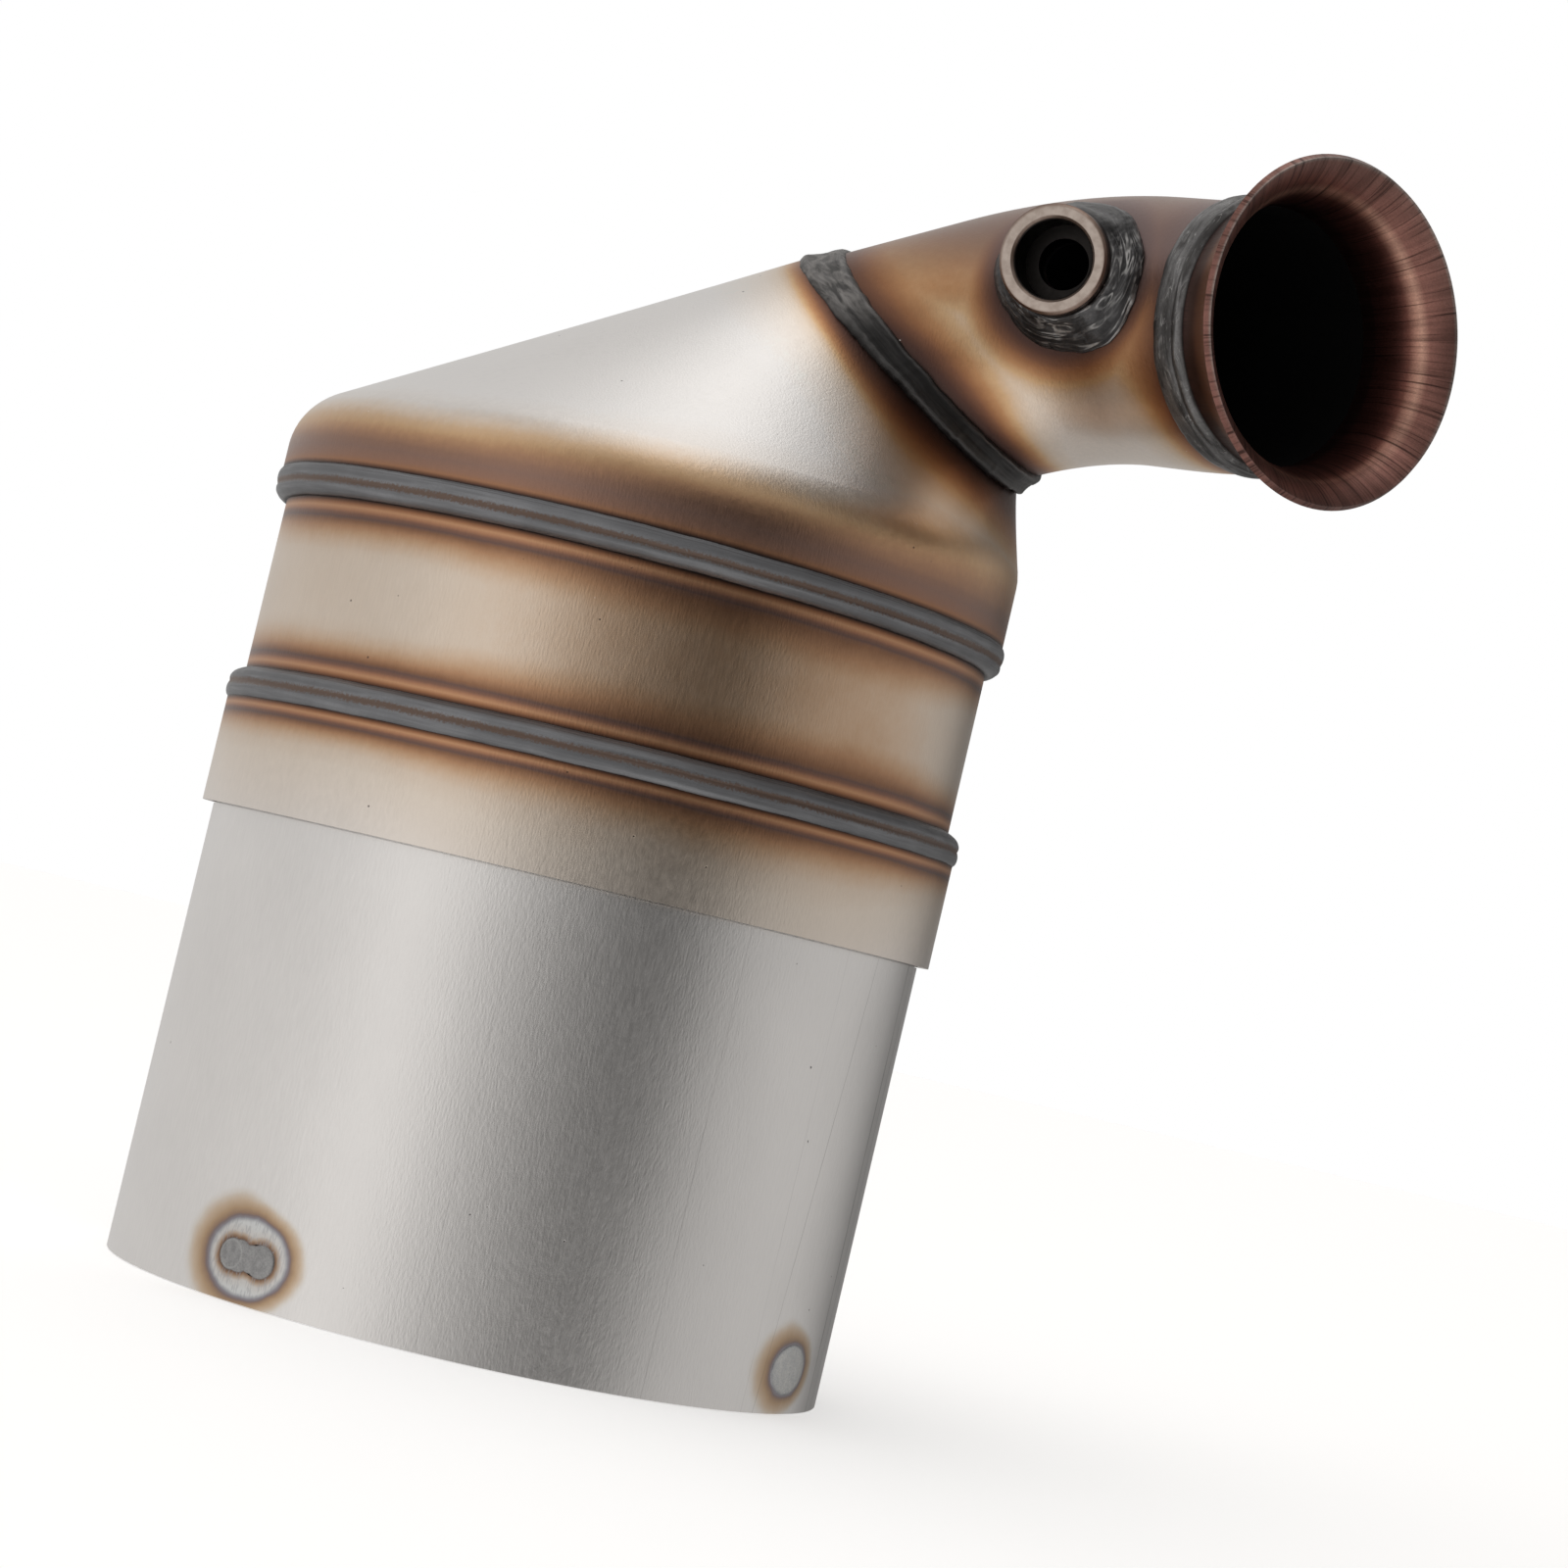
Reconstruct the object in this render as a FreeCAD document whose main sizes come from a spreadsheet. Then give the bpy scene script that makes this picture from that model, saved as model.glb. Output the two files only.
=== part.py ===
import FreeCAD, Part
import math
import os

import Sketcher

# Diesel particulate filter: a rolled can with the filter block in it, a
# drawn cone that leads off-centre into an elbow, and a flared flange.
# +Z runs up the can, the origin is the centre of its open lower rim,
# and the elbow leaves towards +X.

SIZES = {
    # can, rolled from sheet and welded along its length
    "can_od": 155.0,
    "can_wall": 1.5,
    "can_height": 170.0,
    "seam_width": 3.0,
    "seam_azimuth": 100.0,
    # sleeve over the can
    "sleeve_wall": 2.1,
    "sleeve_bottom": 96.3,
    "sleeve_height": 25.7,
    "slip_gap": 0.35,
    # shallow line rolled into the can that shows how far the sleeve goes
    "locator_depth": 0.6,
    "locator_width": 2.0,
    "locator_lead": 0.3,
    # cone: skirt over the can, then a straight slope to the slanted neck
    "cone_wall": 2.0,
    "skirt_overlap": 5.6,
    "skirt_tilt": 0.8,
    "skirt_height": 17.6,
    "shoulder_fillet": 14.0,
    # neck: centre of the slanted joint, and the direction square to it
    "neck_overhang": 0.8,
    "neck_y": -3.0,
    "neck_lift": 41.0,
    "neck_azimuth": -28.0,
    "neck_rise": 50.1,
    "neck_offset": 1.3,
    # elbow: three straight legs joined by two arcs of one radius
    "tube_od": 57.0,
    "tube_wall": 1.5,
    "bend_radius": 57.0,
    "leg_one": 37.1,
    "leg_one_azimuth": -12.5,
    "leg_one_rise": 26.6,
    "leg_two": 37.7,
    "leg_two_azimuth": -42.4,
    "leg_two_rise": -0.2,
    "leg_three": 10.4,
    "leg_three_azimuth": -55.7,
    "leg_three_rise": 3.3,
    # flange: same tube, butt to the elbow, opened by a flare of one arc
    "flare_radius": 17.0,
    "flare_angle": 57.0,
    # sensor boss, tapped M18 x 1.5
    "boss_od": 23.0,
    "boss_bore": 16.4,
    "boss_height": 11.5,
    "boss_chamfer": 0.8,
    "boss_edge": 0.5,
    "boss_depth": 8.8,
    "boss_port": 10.8,
    "boss_run": 11.994,
    "boss_side_azimuth": -132.362,
    "boss_side_rise": 10.794,
    "boss_stand": 1.028,
    "boss_azimuth": -112.0,
    "boss_rise": -6.2,
    # weld beads
    "ring_width": 4.2,
    "ring_height": 0.7,
    "ring_groove": 0.35,
    "ring_sink": 2.0,
    "ring_toe": 0.2,
    "neck_bead": 3.4,
    "neck_bead_sink": 1.2,
    "neck_bead_shift": 0.0,
    "flange_bead_length": 7.0,
    "flange_bead_height": 1.3,
    "boss_bead_foot": 4.3,
    "boss_bead_top": 0.8,
    "boss_bead_rise": 5.5,
    "boss_bead_sag": 2.2,
    "boss_bead_spread": 1.2,
    # plug welds through the can into the end ring
    "plug_z": 9.2,
    "plug_diameter": 10.0,
    "nugget_diameter": 6.4,
    "nugget_pitch": 5.6,
    "plug_azimuth": -29.5,
    "nugget_azimuth": -125.5,
    # filter block and what holds it
    "mat_gap": 4.1,
    "block_bottom": 19.0,
    "block_rise": 1.4,
    "block_skin": 1.0,
    "segment_trim": 0.6,
    "cement_joint": 1.0,
    "seal_height": 4.5,
    "ring_wall": 1.5,
    "ring_lip": 6.5,
    "ring_bottom": 3.0,
}

doc = FreeCAD.newDocument("particulate_filter")
sheet = doc.addObject("Spreadsheet::Sheet", "Sizes")
for row, (name, value) in enumerate(SIZES.items(), start=1):
    sheet.set(f"A{row}", name)
    sheet.set(f"B{row}", str(value))
    sheet.setAlias(f"B{row}", name)
doc.recompute()


class Size:
    """A number together with the sheet expression that gives it."""

    def __init__(self, value, text):
        self.value = value
        self.text = text

    def __add__(self, other):
        other = as_size(other)
        return Size(self.value + other.value, f"({self.text} + {other.text})")

    def __sub__(self, other):
        other = as_size(other)
        return Size(self.value - other.value, f"({self.text} - {other.text})")

    def __mul__(self, other):
        other = as_size(other)
        return Size(self.value * other.value, f"({self.text} * {other.text})")

    def __truediv__(self, other):
        other = as_size(other)
        return Size(self.value / other.value, f"({self.text} / {other.text})")

    def __neg__(self):
        return as_size(0) - self


def as_size(thing):
    if isinstance(thing, Size):
        return thing
    return Size(float(thing), repr(thing))


def size(name):
    return Size(float(sheet.get(name)), f"Sizes.{name}")


def cosine(angle):
    return Size(math.cos(math.radians(angle.value)), f"cos({angle.text})")


def sine(angle):
    return Size(math.sin(math.radians(angle.value)), f"sin({angle.text})")


def root(amount):
    return Size(math.sqrt(amount.value), f"sqrt({amount.text})")


def bind(thing, **sizes):
    for field, amount in sizes.items():
        thing.setExpression(field, as_size(amount).text)


def heading(azimuth, rise):
    """Unit direction: azimuth from +X towards +Y, rise above level."""
    a = math.radians(azimuth.value)
    b = math.radians(rise.value)
    return FreeCAD.Vector(
        math.cos(b) * math.cos(a), math.cos(b) * math.sin(a), math.sin(b)
    )


def placed(point, axis, across=None):
    """Placement with local Z along axis and local X near across."""
    across = across or FreeCAD.Vector(0, 0, 1)
    side = axis.cross(across).normalize()
    turn = FreeCAD.Rotation(side.cross(axis), side, axis, "ZXY")
    return FreeCAD.Placement(point, turn)


def origin_plane(body, role):
    for plane in body.Origin.OriginFeatures:
        if plane.Role == role:
            return plane
    raise ValueError(role)


def profile(body, name, corners, arcs=None, plane="XZ_Plane"):
    """Closed sketch through the corners; arcs maps an edge to (radius, centre side)."""
    arcs = arcs or {}
    sketch = body.newObject("Sketcher::SketchObject", name)
    sketch.AttachmentSupport = [(origin_plane(body, plane), "")]
    sketch.MapMode = "FlatFace"
    spots = [FreeCAD.Vector(as_size(u).value, as_size(v).value, 0) for u, v in corners]
    ends = {}
    for k, start in enumerate(spots):
        stop = spots[(k + 1) % len(spots)]
        if k not in arcs:
            sketch.addGeometry(Part.LineSegment(start, stop), False)
            ends[k] = (1, 2)
            continue
        radius, side = arcs[k]
        radius = as_size(radius)
        half = (stop - start) * 0.5
        square = FreeCAD.Vector(-half.y, half.x, 0).normalize() * side
        reach = math.sqrt(max(radius.value**2 - half.Length**2, 0.0))
        centre = start + half + square * reach
        middle = centre + (start + half - centre).normalize() * radius.value
        arc = Part.Arc(start, middle, stop).toShape().Curve
        circle = Part.Circle(centre, FreeCAD.Vector(0, 0, 1), radius.value)
        first = circle.parameter(start)
        last = circle.parameter(stop)
        turned = ((last - first) % (2 * math.pi)) < math.pi
        if turned:
            piece = Part.ArcOfCircle(circle, first, last)
            ends[k] = (1, 2)
        else:
            piece = Part.ArcOfCircle(circle, last, first)
            ends[k] = (2, 1)
        sketch.addGeometry(piece, False)
    for k in range(len(spots)):
        after = (k + 1) % len(spots)
        sketch.addConstraint(
            Sketcher.Constraint("Coincident", k, ends[k][1], after, ends[after][0])
        )
    for k, (u, v) in enumerate(corners):
        for kind, amount in (("DistanceX", as_size(u)), ("DistanceY", as_size(v))):
            item = Sketcher.Constraint(kind, -1, 1, k, ends[k][0], amount.value)
            index = sketch.addConstraint(item)
            sketch.setExpression(f"Constraints[{index}]", amount.text)
    for k, (radius, _side) in arcs.items():
        radius = as_size(radius)
        index = sketch.addConstraint(Sketcher.Constraint("Radius", k, radius.value))
        sketch.setExpression(f"Constraints[{index}]", radius.text)
    return sketch


def turned_body(name, corners, arcs=None, placement=None):
    """Body made by one full turn of a profile given as (radius, height)."""
    body = doc.addObject("PartDesign::Body", name)
    sketch = profile(body, name + "_profile", corners, arcs)
    turn = body.newObject("PartDesign::Revolution", name + "_turn")
    turn.Profile = sketch
    turn.ReferenceAxis = (sketch, ["V_Axis"])
    turn.Angle = 360.0
    body.Tip = turn
    if placement:
        body.Placement = placement
    return body


def cylinder(name, radius, height, placement=None):
    thing = doc.addObject("Part::Cylinder", name)
    bind(thing, Radius=radius, Height=height)
    if placement:
        thing.Placement = placement
    return thing


def boolean(kind, name, base, tool):
    thing = doc.addObject(kind, name)
    thing.Base = base
    thing.Tool = tool
    return thing


def compound(name, links):
    thing = doc.addObject("Part::Compound", name)
    thing.Links = links
    return thing


def at(x=0.0, y=0.0, z=0.0):
    return FreeCAD.Placement(
        FreeCAD.Vector(as_size(x).value, as_size(y).value, as_size(z).value),
        FreeCAD.Rotation(),
    )


PIECES = []


def piece(thing, label):
    thing.Label = label
    PIECES.append(thing)
    return thing


can_r = size("can_od") / 2
can_bore = can_r - size("can_wall")
slip_r = can_r + size("slip_gap")
sleeve_r = slip_r + size("sleeve_wall")
cone_r = slip_r + size("cone_wall")
tube_r = size("tube_od") / 2
tube_bore = tube_r - size("tube_wall")

# Plug welds: four holes near the rim, two round and two of a pair of
# overlapping spots, filled with weld down to the ring inside.
around = [size("plug_azimuth").value, size("plug_azimuth").value + 180.0]
paired = [size("nugget_azimuth").value, size("nugget_azimuth").value + 180.0]


def radial_pin(name, azimuth, diameter, offset=0.0):
    out = heading(Size(azimuth, ""), Size(0.0, ""))
    side = FreeCAD.Vector(0, 0, 1).cross(out)
    reach = size("can_wall") * 4
    start = out * (can_r.value - reach.value) + side * offset
    start.z = size("plug_z").value
    return cylinder(name, diameter / 2, reach * 2, placed(start, out))


pins = []
for k, azimuth in enumerate(around):
    pins.append(radial_pin(f"round_pin_{k}", azimuth, size("plug_diameter")))
for k, azimuth in enumerate(paired):
    shift = size("nugget_pitch").value / 2
    left = radial_pin(f"left_spot_{k}", azimuth, size("nugget_diameter"), -shift)
    right = radial_pin(f"right_spot_{k}", azimuth, size("nugget_diameter"), shift)
    pins.append(boolean("Part::Fuse", f"spot_pair_{k}", left, right))
plug_tools = compound("plug_tools", pins)

plug_band = turned_body(
    "plug_band",
    [
        (can_bore, 0.0),
        (can_r, 0.0),
        (can_r, size("plug_z") * 2),
        (can_bore, size("plug_z") * 2),
    ],
)
piece(boolean("Part::Common", "plug_fill", plug_band, plug_tools), "plug_welds")

# Can: tube with a slot along its length for the seam weld and the
# plug holes.
slot_reach = size("can_wall") * 4
seam_box = doc.addObject("Part::Box", "seam_slot")
bind(seam_box, Length=slot_reach * 2, Width=size("seam_width"), Height=size("can_height"))
seam_turn = FreeCAD.Rotation(FreeCAD.Vector(0, 0, 1), size("seam_azimuth").value)
seam_start = can_r - slot_reach
seam_shift = FreeCAD.Vector(seam_start.value, -size("seam_width").value / 2, 0)
seam_box.Placement = FreeCAD.Placement(seam_turn.multVec(seam_shift), seam_turn)

locator_low = size("sleeve_bottom") - size("locator_lead")
locator_high = locator_low + size("locator_width")
locator_r = can_r - size("locator_depth")
rolled = [
    (can_bore, 0.0),
    (can_r, 0.0),
    (can_r, locator_low),
    (locator_r, locator_low),
    (locator_r, locator_high),
    (can_r, locator_high),
    (can_r, size("can_height")),
    (can_bore, size("can_height")),
]
seam_band = turned_body("seam_band", rolled)
piece(boolean("Part::Common", "seam_fill", seam_band, seam_box), "can_seam_weld")

can_tube = turned_body("can_tube", rolled)
can_slotted = boolean("Part::Cut", "can_slotted", can_tube, seam_box)
piece(boolean("Part::Cut", "can_drilled", can_slotted, plug_tools), "can_shell")

# Sleeve over the can; its upper edge is under the lower ring of weld.
sleeve_top = size("sleeve_bottom") + size("sleeve_height")
sleeve = turned_body(
    "sleeve",
    [
        (slip_r, size("sleeve_bottom")),
        (sleeve_r, size("sleeve_bottom")),
        (sleeve_r, sleeve_top),
        (slip_r, sleeve_top),
    ],
)
piece(sleeve, "overlap_sleeve")

# Lower ring of weld: two humps with a groove between them, one toe on
# the sleeve and the other on the bare can.
crest = sleeve_r + size("ring_height")
groove = crest - size("ring_groove")
width = size("ring_width")
sleeve_weld = turned_body(
    "sleeve_bead",
    [
        (can_r, sleeve_top),
        (sleeve_r, sleeve_top),
        (sleeve_r, sleeve_top - width * 0.75),
        (crest, sleeve_top - width * 0.35),
        (groove, sleeve_top + width * 0.05),
        (crest, sleeve_top + width * 0.3),
        (can_r, sleeve_top + width * 0.85),
    ],
    {2: (width * 0.6, 1), 3: (width * 0.45, 1), 4: (width * 0.4, 1), 5: (width, 1)},
)
piece(sleeve_weld, "sleeve_weld")

# Cone. The neck joint lies in one slanted plane, where the elbow, cut
# at a slant, stands as an ellipse on the open end of the cone.
skirt_bottom = size("can_height") - size("skirt_overlap")
shoulder = skirt_bottom + size("skirt_height")
neck_x = can_r - tube_r + size("neck_overhang")
neck_z = shoulder + size("neck_lift")
neck = FreeCAD.Vector(neck_x.value, size("neck_y").value, neck_z.value)
neck_out = heading(size("neck_azimuth"), size("neck_rise"))
leg_one_dir = heading(size("leg_one_azimuth"), size("leg_one_rise"))
slant = leg_one_dir.dot(neck_out)
neck_long = (leg_one_dir - neck_out * slant).normalize()
neck_turn = FreeCAD.Rotation(neck_long, FreeCAD.Vector(), neck_out, "ZXY")
neck_place = FreeCAD.Placement(neck, neck_turn)
azimuth_gap = size("leg_one_azimuth") - size("neck_azimuth")
slant_size = cosine(size("leg_one_rise")) * cosine(size("neck_rise")) * cosine(azimuth_gap)
slant_size = slant_size + sine(size("leg_one_rise")) * sine(size("neck_rise"))


def neck_ellipse(name, radius, shrink=0.0, shift=0.0, spin=0.0):
    thing = doc.addObject("Part::Ellipse", name)
    bind(thing, MajorRadius=radius / slant_size - shrink, MinorRadius=radius - shrink)
    turn = neck_turn.multiply(FreeCAD.Rotation(FreeCAD.Vector(0, 0, 1), spin))
    thing.Placement = FreeCAD.Placement(neck + neck_long * shift, turn)
    return thing


def base_circle(name, radius):
    thing = doc.addObject("Part::Circle", name)
    bind(thing, Radius=radius)
    bearing = math.degrees(math.atan2(neck_long.y, neck_long.x))
    turn = FreeCAD.Rotation(FreeCAD.Vector(0, 0, 1), bearing)
    thing.Placement = FreeCAD.Placement(FreeCAD.Vector(0, 0, shoulder.value), turn)
    return thing


def hood(name, base_radius, neck_radius, fillet):
    loft = doc.addObject("Part::Loft", name + "_slope")
    loft.Sections = [
        base_circle(name + "_base", base_radius),
        neck_ellipse(name + "_neck", neck_radius, 0.0, -size("neck_offset").value),
    ]
    loft.Solid = True
    loft.Ruled = True
    drop = size("skirt_height") * 2
    skirt = cylinder(name + "_skirt", base_radius, drop, at(z=shoulder - drop))
    whole = boolean("Part::Fuse", name + "_whole", skirt, loft)
    doc.recompute()
    level_z = shoulder.value
    numbers = []
    for k, edge in enumerate(whole.Shape.Edges, start=1):
        box = edge.BoundBox
        if abs(box.ZMin - level_z) < 0.01 and abs(box.ZMax - level_z) < 0.01:
            numbers.append(k)
    rounded = doc.addObject("Part::Fillet", name + "_round")
    rounded.Base = whole
    rounded.Edges = [(k, fillet.value, fillet.value) for k in numbers]
    return rounded


outer_hood = hood("outer", cone_r, tube_r, size("shoulder_fillet"))
inner_round = size("shoulder_fillet") - size("cone_wall")
inner_hood = hood("inner", slip_r, tube_bore, inner_round)

# The skirt's lower edge lies slightly askew on the can.
skirt_turn = FreeCAD.Rotation(FreeCAD.Vector(0, 1, 0), size("skirt_tilt").value)
skirt_edge = FreeCAD.Vector(0, 0, skirt_bottom.value)
skirt_drop = size("skirt_height") * 3
skirt_foot = skirt_edge - skirt_turn.multVec(FreeCAD.Vector(0, 0, skirt_drop.value))
skirt_trim = cylinder(
    "skirt_trim", cone_r * 1.3, skirt_drop, FreeCAD.Placement(skirt_foot, skirt_turn)
)
outer_trimmed = boolean("Part::Cut", "outer_trimmed", outer_hood, skirt_trim)
piece(boolean("Part::Cut", "hood_hollow", outer_trimmed, inner_hood), "cone")

# Upper ring of weld, over the askew edge of the skirt.
cone_bead_blank = turned_body(
    "cone_bead_blank",
    [
        (can_r - size("ring_sink"), -(width * 0.6)),
        (can_r, -(width * 1.05)),
        (cone_r + size("ring_height") * 0.5, -(width * 0.5)),
        (cone_r + size("ring_height") * 0.2, -(width * 0.1)),
        (cone_r + size("ring_height"), width * 0.35),
        (cone_r - size("ring_toe"), width * 0.98),
        (can_r - size("ring_sink"), width * 0.6),
    ],
    {1: (width, -1), 2: (width * 0.45, -1), 3: (width * 0.5, -1), 4: (width, -1)},
    FreeCAD.Placement(skirt_edge, skirt_turn),
)
can_plug = cylinder("can_plug", can_r, shoulder)
cone_bead_cut = boolean("Part::Cut", "cone_bead_cut", cone_bead_blank, can_plug)
piece(boolean("Part::Cut", "cone_bead", cone_bead_cut, outer_trimmed), "cone_weld")

# Elbow: the centreline is three straight legs joined by tangent arcs.
leg_two_dir = heading(size("leg_two_azimuth"), size("leg_two_rise"))
leg_three_dir = heading(size("leg_three_azimuth"), size("leg_three_rise"))
bead_point = neck + leg_one_dir * size("leg_one").value
bead_point = bead_point + leg_two_dir * size("leg_two").value
bead_point = bead_point + leg_three_dir * size("leg_three").value


def centreline(name, before, beyond):
    """Path of the elbow, run on before the neck and beyond the flange bead."""
    radius = size("bend_radius").value
    corner_one = neck + leg_one_dir * size("leg_one").value
    corner_two = corner_one + leg_two_dir * size("leg_two").value
    points = [neck - leg_one_dir * before, corner_one, corner_two]
    points.append(bead_point + leg_three_dir * beyond)
    dirs = [leg_one_dir, leg_two_dir, leg_three_dir]
    edges = []
    start = points[0]
    for k in (0, 1):
        turn = dirs[k].getAngle(dirs[k + 1])
        reach = radius * math.tan(turn / 2)
        enter = points[k + 1] - dirs[k] * reach
        leave = points[k + 1] + dirs[k + 1] * reach
        inward = (dirs[k + 1] - dirs[k]).normalize()
        middle = points[k + 1] + inward * (radius / math.cos(turn / 2) - radius)
        edges.append(Part.LineSegment(start, enter).toShape())
        edges.append(Part.Arc(enter, middle, leave).toShape())
        start = leave
    edges.append(Part.LineSegment(start, points[3]).toShape())
    path = doc.addObject("Part::Feature", name)
    path.Shape = Part.Wire(edges)
    return path


def swept_tube(name, radius, before, beyond):
    path = centreline(name + "_path", before, beyond)
    ring = doc.addObject("Part::Circle", name + "_ring")
    bind(ring, Radius=radius)
    ring.Placement = placed(neck - leg_one_dir * before, leg_one_dir)
    sweep = doc.addObject("Part::Sweep", name)
    sweep.Sections = [ring]
    sweep.Spine = (path, [f"Edge{k}" for k in range(1, 6)])
    sweep.Solid = True
    sweep.Frenet = False
    return sweep


lead = size("tube_od").value * 0.6
elbow_full = swept_tube("elbow_full", tube_r, lead, 0.0)
run_out = size("tube_wall").value
elbow_hole = swept_tube("elbow_hole", tube_bore, lead + run_out, run_out)
neck_trim = cylinder(
    "neck_trim",
    size("tube_od"),
    lead * 2.0,
    FreeCAD.Placement(neck - neck_out * (lead * 2.0), neck_turn),
)
elbow_outer = boolean("Part::Cut", "elbow_outer", elbow_full, neck_trim)
elbow_pipe = boolean("Part::Cut", "elbow_pipe", elbow_outer, elbow_hole)
boss_side = heading(size("boss_side_azimuth"), size("boss_side_rise"))
boss_foot = neck + leg_one_dir * size("leg_one").value
boss_foot = boss_foot + leg_two_dir * size("boss_run").value
boss_foot = boss_foot + boss_side * (tube_r + size("boss_stand")).value
boss_out = heading(size("boss_azimuth"), size("boss_rise"))
boss_place = placed(boss_foot, boss_out)
port = cylinder(
    "boss_port_drill",
    size("boss_port") / 2,
    size("boss_height") * 2,
    placed(boss_foot - boss_out * size("boss_height").value, boss_out),
)
piece(boolean("Part::Cut", "elbow_drilled", elbow_pipe, port), "elbow_tube")

# Bead round the neck: a round section along the slanted ellipse, sunk
# into the walls so that only its crown stands out.
sink = size("neck_bead_sink")
bead_path = neck_ellipse("neck_bead_path", tube_r, sink, size("neck_bead_shift").value, 180.0)
doc.recompute()
bead_wire = Part.Wire(bead_path.Shape.Edges)
first = bead_wire.Edges[0]
bead_start = first.valueAt(first.FirstParameter)
bead_along = first.tangentAt(first.FirstParameter)
bead_round = Part.Circle(bead_start, bead_along, size("neck_bead").value)
bead_sweep = bead_wire.makePipeShell([Part.Wire([bead_round.toShape()])], True, False)
neck_bead = doc.addObject("Part::Feature", "neck_bead")
neck_bead.Shape = bead_sweep.cut(elbow_outer.Shape).cut(outer_trimmed.Shape)
piece(neck_bead, "neck_weld")

# Flange: the tube runs on for its short neck, then one arc opens it to
# the lip.
flare = size("flare_radius")
flare_far = flare + size("tube_wall")
open_x = cosine(size("flare_angle"))
open_y = sine(size("flare_angle"))
flare_centre = tube_r + flare
half_bead = size("flange_bead_length") / 2
neck_end = half_bead
flange_place = placed(bead_point, leg_three_dir)
flange = turned_body(
    "flange",
    [
        (tube_bore, 0.0),
        (tube_r, 0.0),
        (tube_r, neck_end),
        (flare_centre - flare * open_x, neck_end + flare * open_y),
        (flare_centre - flare_far * open_x, neck_end + flare_far * open_y),
        (tube_bore, neck_end),
    ],
    {2: (flare, -1), 4: (flare_far, 1)},
    flange_place,
)
piece(flange, "flared_flange")

# Bead over the joint: two humps, one toe on the elbow and the other at
# the start of the flare.
bead_crest = tube_r + size("flange_bead_height")
flange_bead = turned_body(
    "flange_bead",
    [
        (tube_r, -half_bead),
        (bead_crest, -(half_bead * 0.3)),
        (bead_crest - 0.35, half_bead * 0.1),
        (bead_crest + 0.1, half_bead * 0.4),
        (tube_r, half_bead),
    ],
    {
        0: (half_bead * 1.2, -1),
        1: (half_bead * 0.5, -1),
        2: (half_bead * 0.4, -1),
        3: (half_bead * 1.1, -1),
    },
    flange_place,
)
piece(flange_bead, "flange_weld")

# Sensor boss: turned ring whose foot is cut to the tube.
boss_r = size("boss_od") / 2
boss_top = size("boss_height")
edge = size("boss_edge")
chamfer = size("boss_chamfer")
thread_r = size("boss_bore") / 2
port_r = size("boss_port") / 2
thread_end = boss_top - size("boss_depth")
boss_blank = turned_body(
    "boss_blank",
    [
        (port_r, -boss_top),
        (boss_r, -boss_top),
        (boss_r, boss_top - edge),
        (boss_r - edge, boss_top),
        (thread_r + chamfer, boss_top),
        (thread_r, boss_top - chamfer),
        (thread_r, thread_end),
        (port_r, thread_end),
    ],
    None,
    boss_place,
)
piece(boolean("Part::Cut", "boss_seated", boss_blank, elbow_outer), "sensor_boss")

# Fillet round the boss, square to the tube at the foot and fuller on
# the lower side.
elbow_line = doc.getObject("elbow_full_path").Shape
path_mid = elbow_line.distToShape(Part.Vertex(boss_foot))[1][0][0]
tube_out = (boss_foot - path_mid).normalize()
down = FreeCAD.Vector(0, 0, -1)
down = (down - tube_out * down.dot(tube_out)).normalize()
bead_foot = boss_foot + down * size("boss_bead_sag").value
foot_mid = elbow_line.distToShape(Part.Vertex(bead_foot))[1][0][0]
foot_out = (bead_foot - foot_mid).normalize()
foot_on_tube = foot_mid + foot_out * tube_r.value
rise = size("boss_bead_rise")
top_r = boss_r + size("boss_bead_top")
foot_r = boss_r + size("boss_bead_foot")
boss_bead_blank = turned_body(
    "boss_bead_blank",
    [
        (0.0, -(rise * 1.6)),
        (foot_r + size("boss_bead_spread"), -(rise * 1.6)),
        (foot_r, 0.0),
        (top_r, rise),
        (0.0, rise),
    ],
    {2: (rise * 1.3, 1)},
    placed(foot_on_tube, foot_out),
)
boss_plug = cylinder(
    "boss_plug",
    boss_r,
    boss_top * 3,
    placed(boss_foot - boss_out * (boss_top.value * 1.5), boss_out),
)
boss_bead_cut = boolean("Part::Cut", "boss_bead_cut", boss_bead_blank, boss_plug)
piece(boolean("Part::Cut", "boss_bead", boss_bead_cut, elbow_outer), "boss_weld")

# End ring: angle section inside the open rim, the block rests on it.
ring_top = size("block_bottom")
ring_wall = size("ring_wall")
end_ring = turned_body(
    "end_angle",
    [
        (can_bore - ring_wall, size("ring_bottom")),
        (can_bore, size("ring_bottom")),
        (can_bore, ring_top),
        (can_bore - size("ring_lip"), ring_top),
        (can_bore - size("ring_lip"), ring_top - ring_wall),
        (can_bore - ring_wall, ring_top - ring_wall),
    ],
)
piece(end_ring, "end_ring")

# Filter block: square segments with cement between them, cut to a
# round block and coated.
block_r = can_bore - size("mat_gap")
skin_r = block_r - size("block_skin")
block_top = size("can_height") + size("block_rise")
block_height = block_top - size("block_bottom")
across = 4
squares_width = skin_r * 2 + size("segment_trim") * 2
segment_side = (squares_width - size("cement_joint") * (across - 1)) / across
pitch = segment_side + size("cement_joint")
corner_sets = {"core": [], "edge": [], "corner": []}
middle = (across - 1) / 2
outermost = (0, across - 1)
for i in range(across):
    for j in range(across):
        box = doc.addObject("Part::Box", f"segment_{i}_{j}")
        bind(box, Length=segment_side, Width=segment_side, Height=block_height)
        left = pitch * (i - middle) - segment_side / 2
        front = pitch * (j - middle) - segment_side / 2
        box.Placement = at(left, front, size("block_bottom"))
        outside = (i in outermost) + (j in outermost)
        corner_sets[("core", "edge", "corner")[outside]].append(box)
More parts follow.
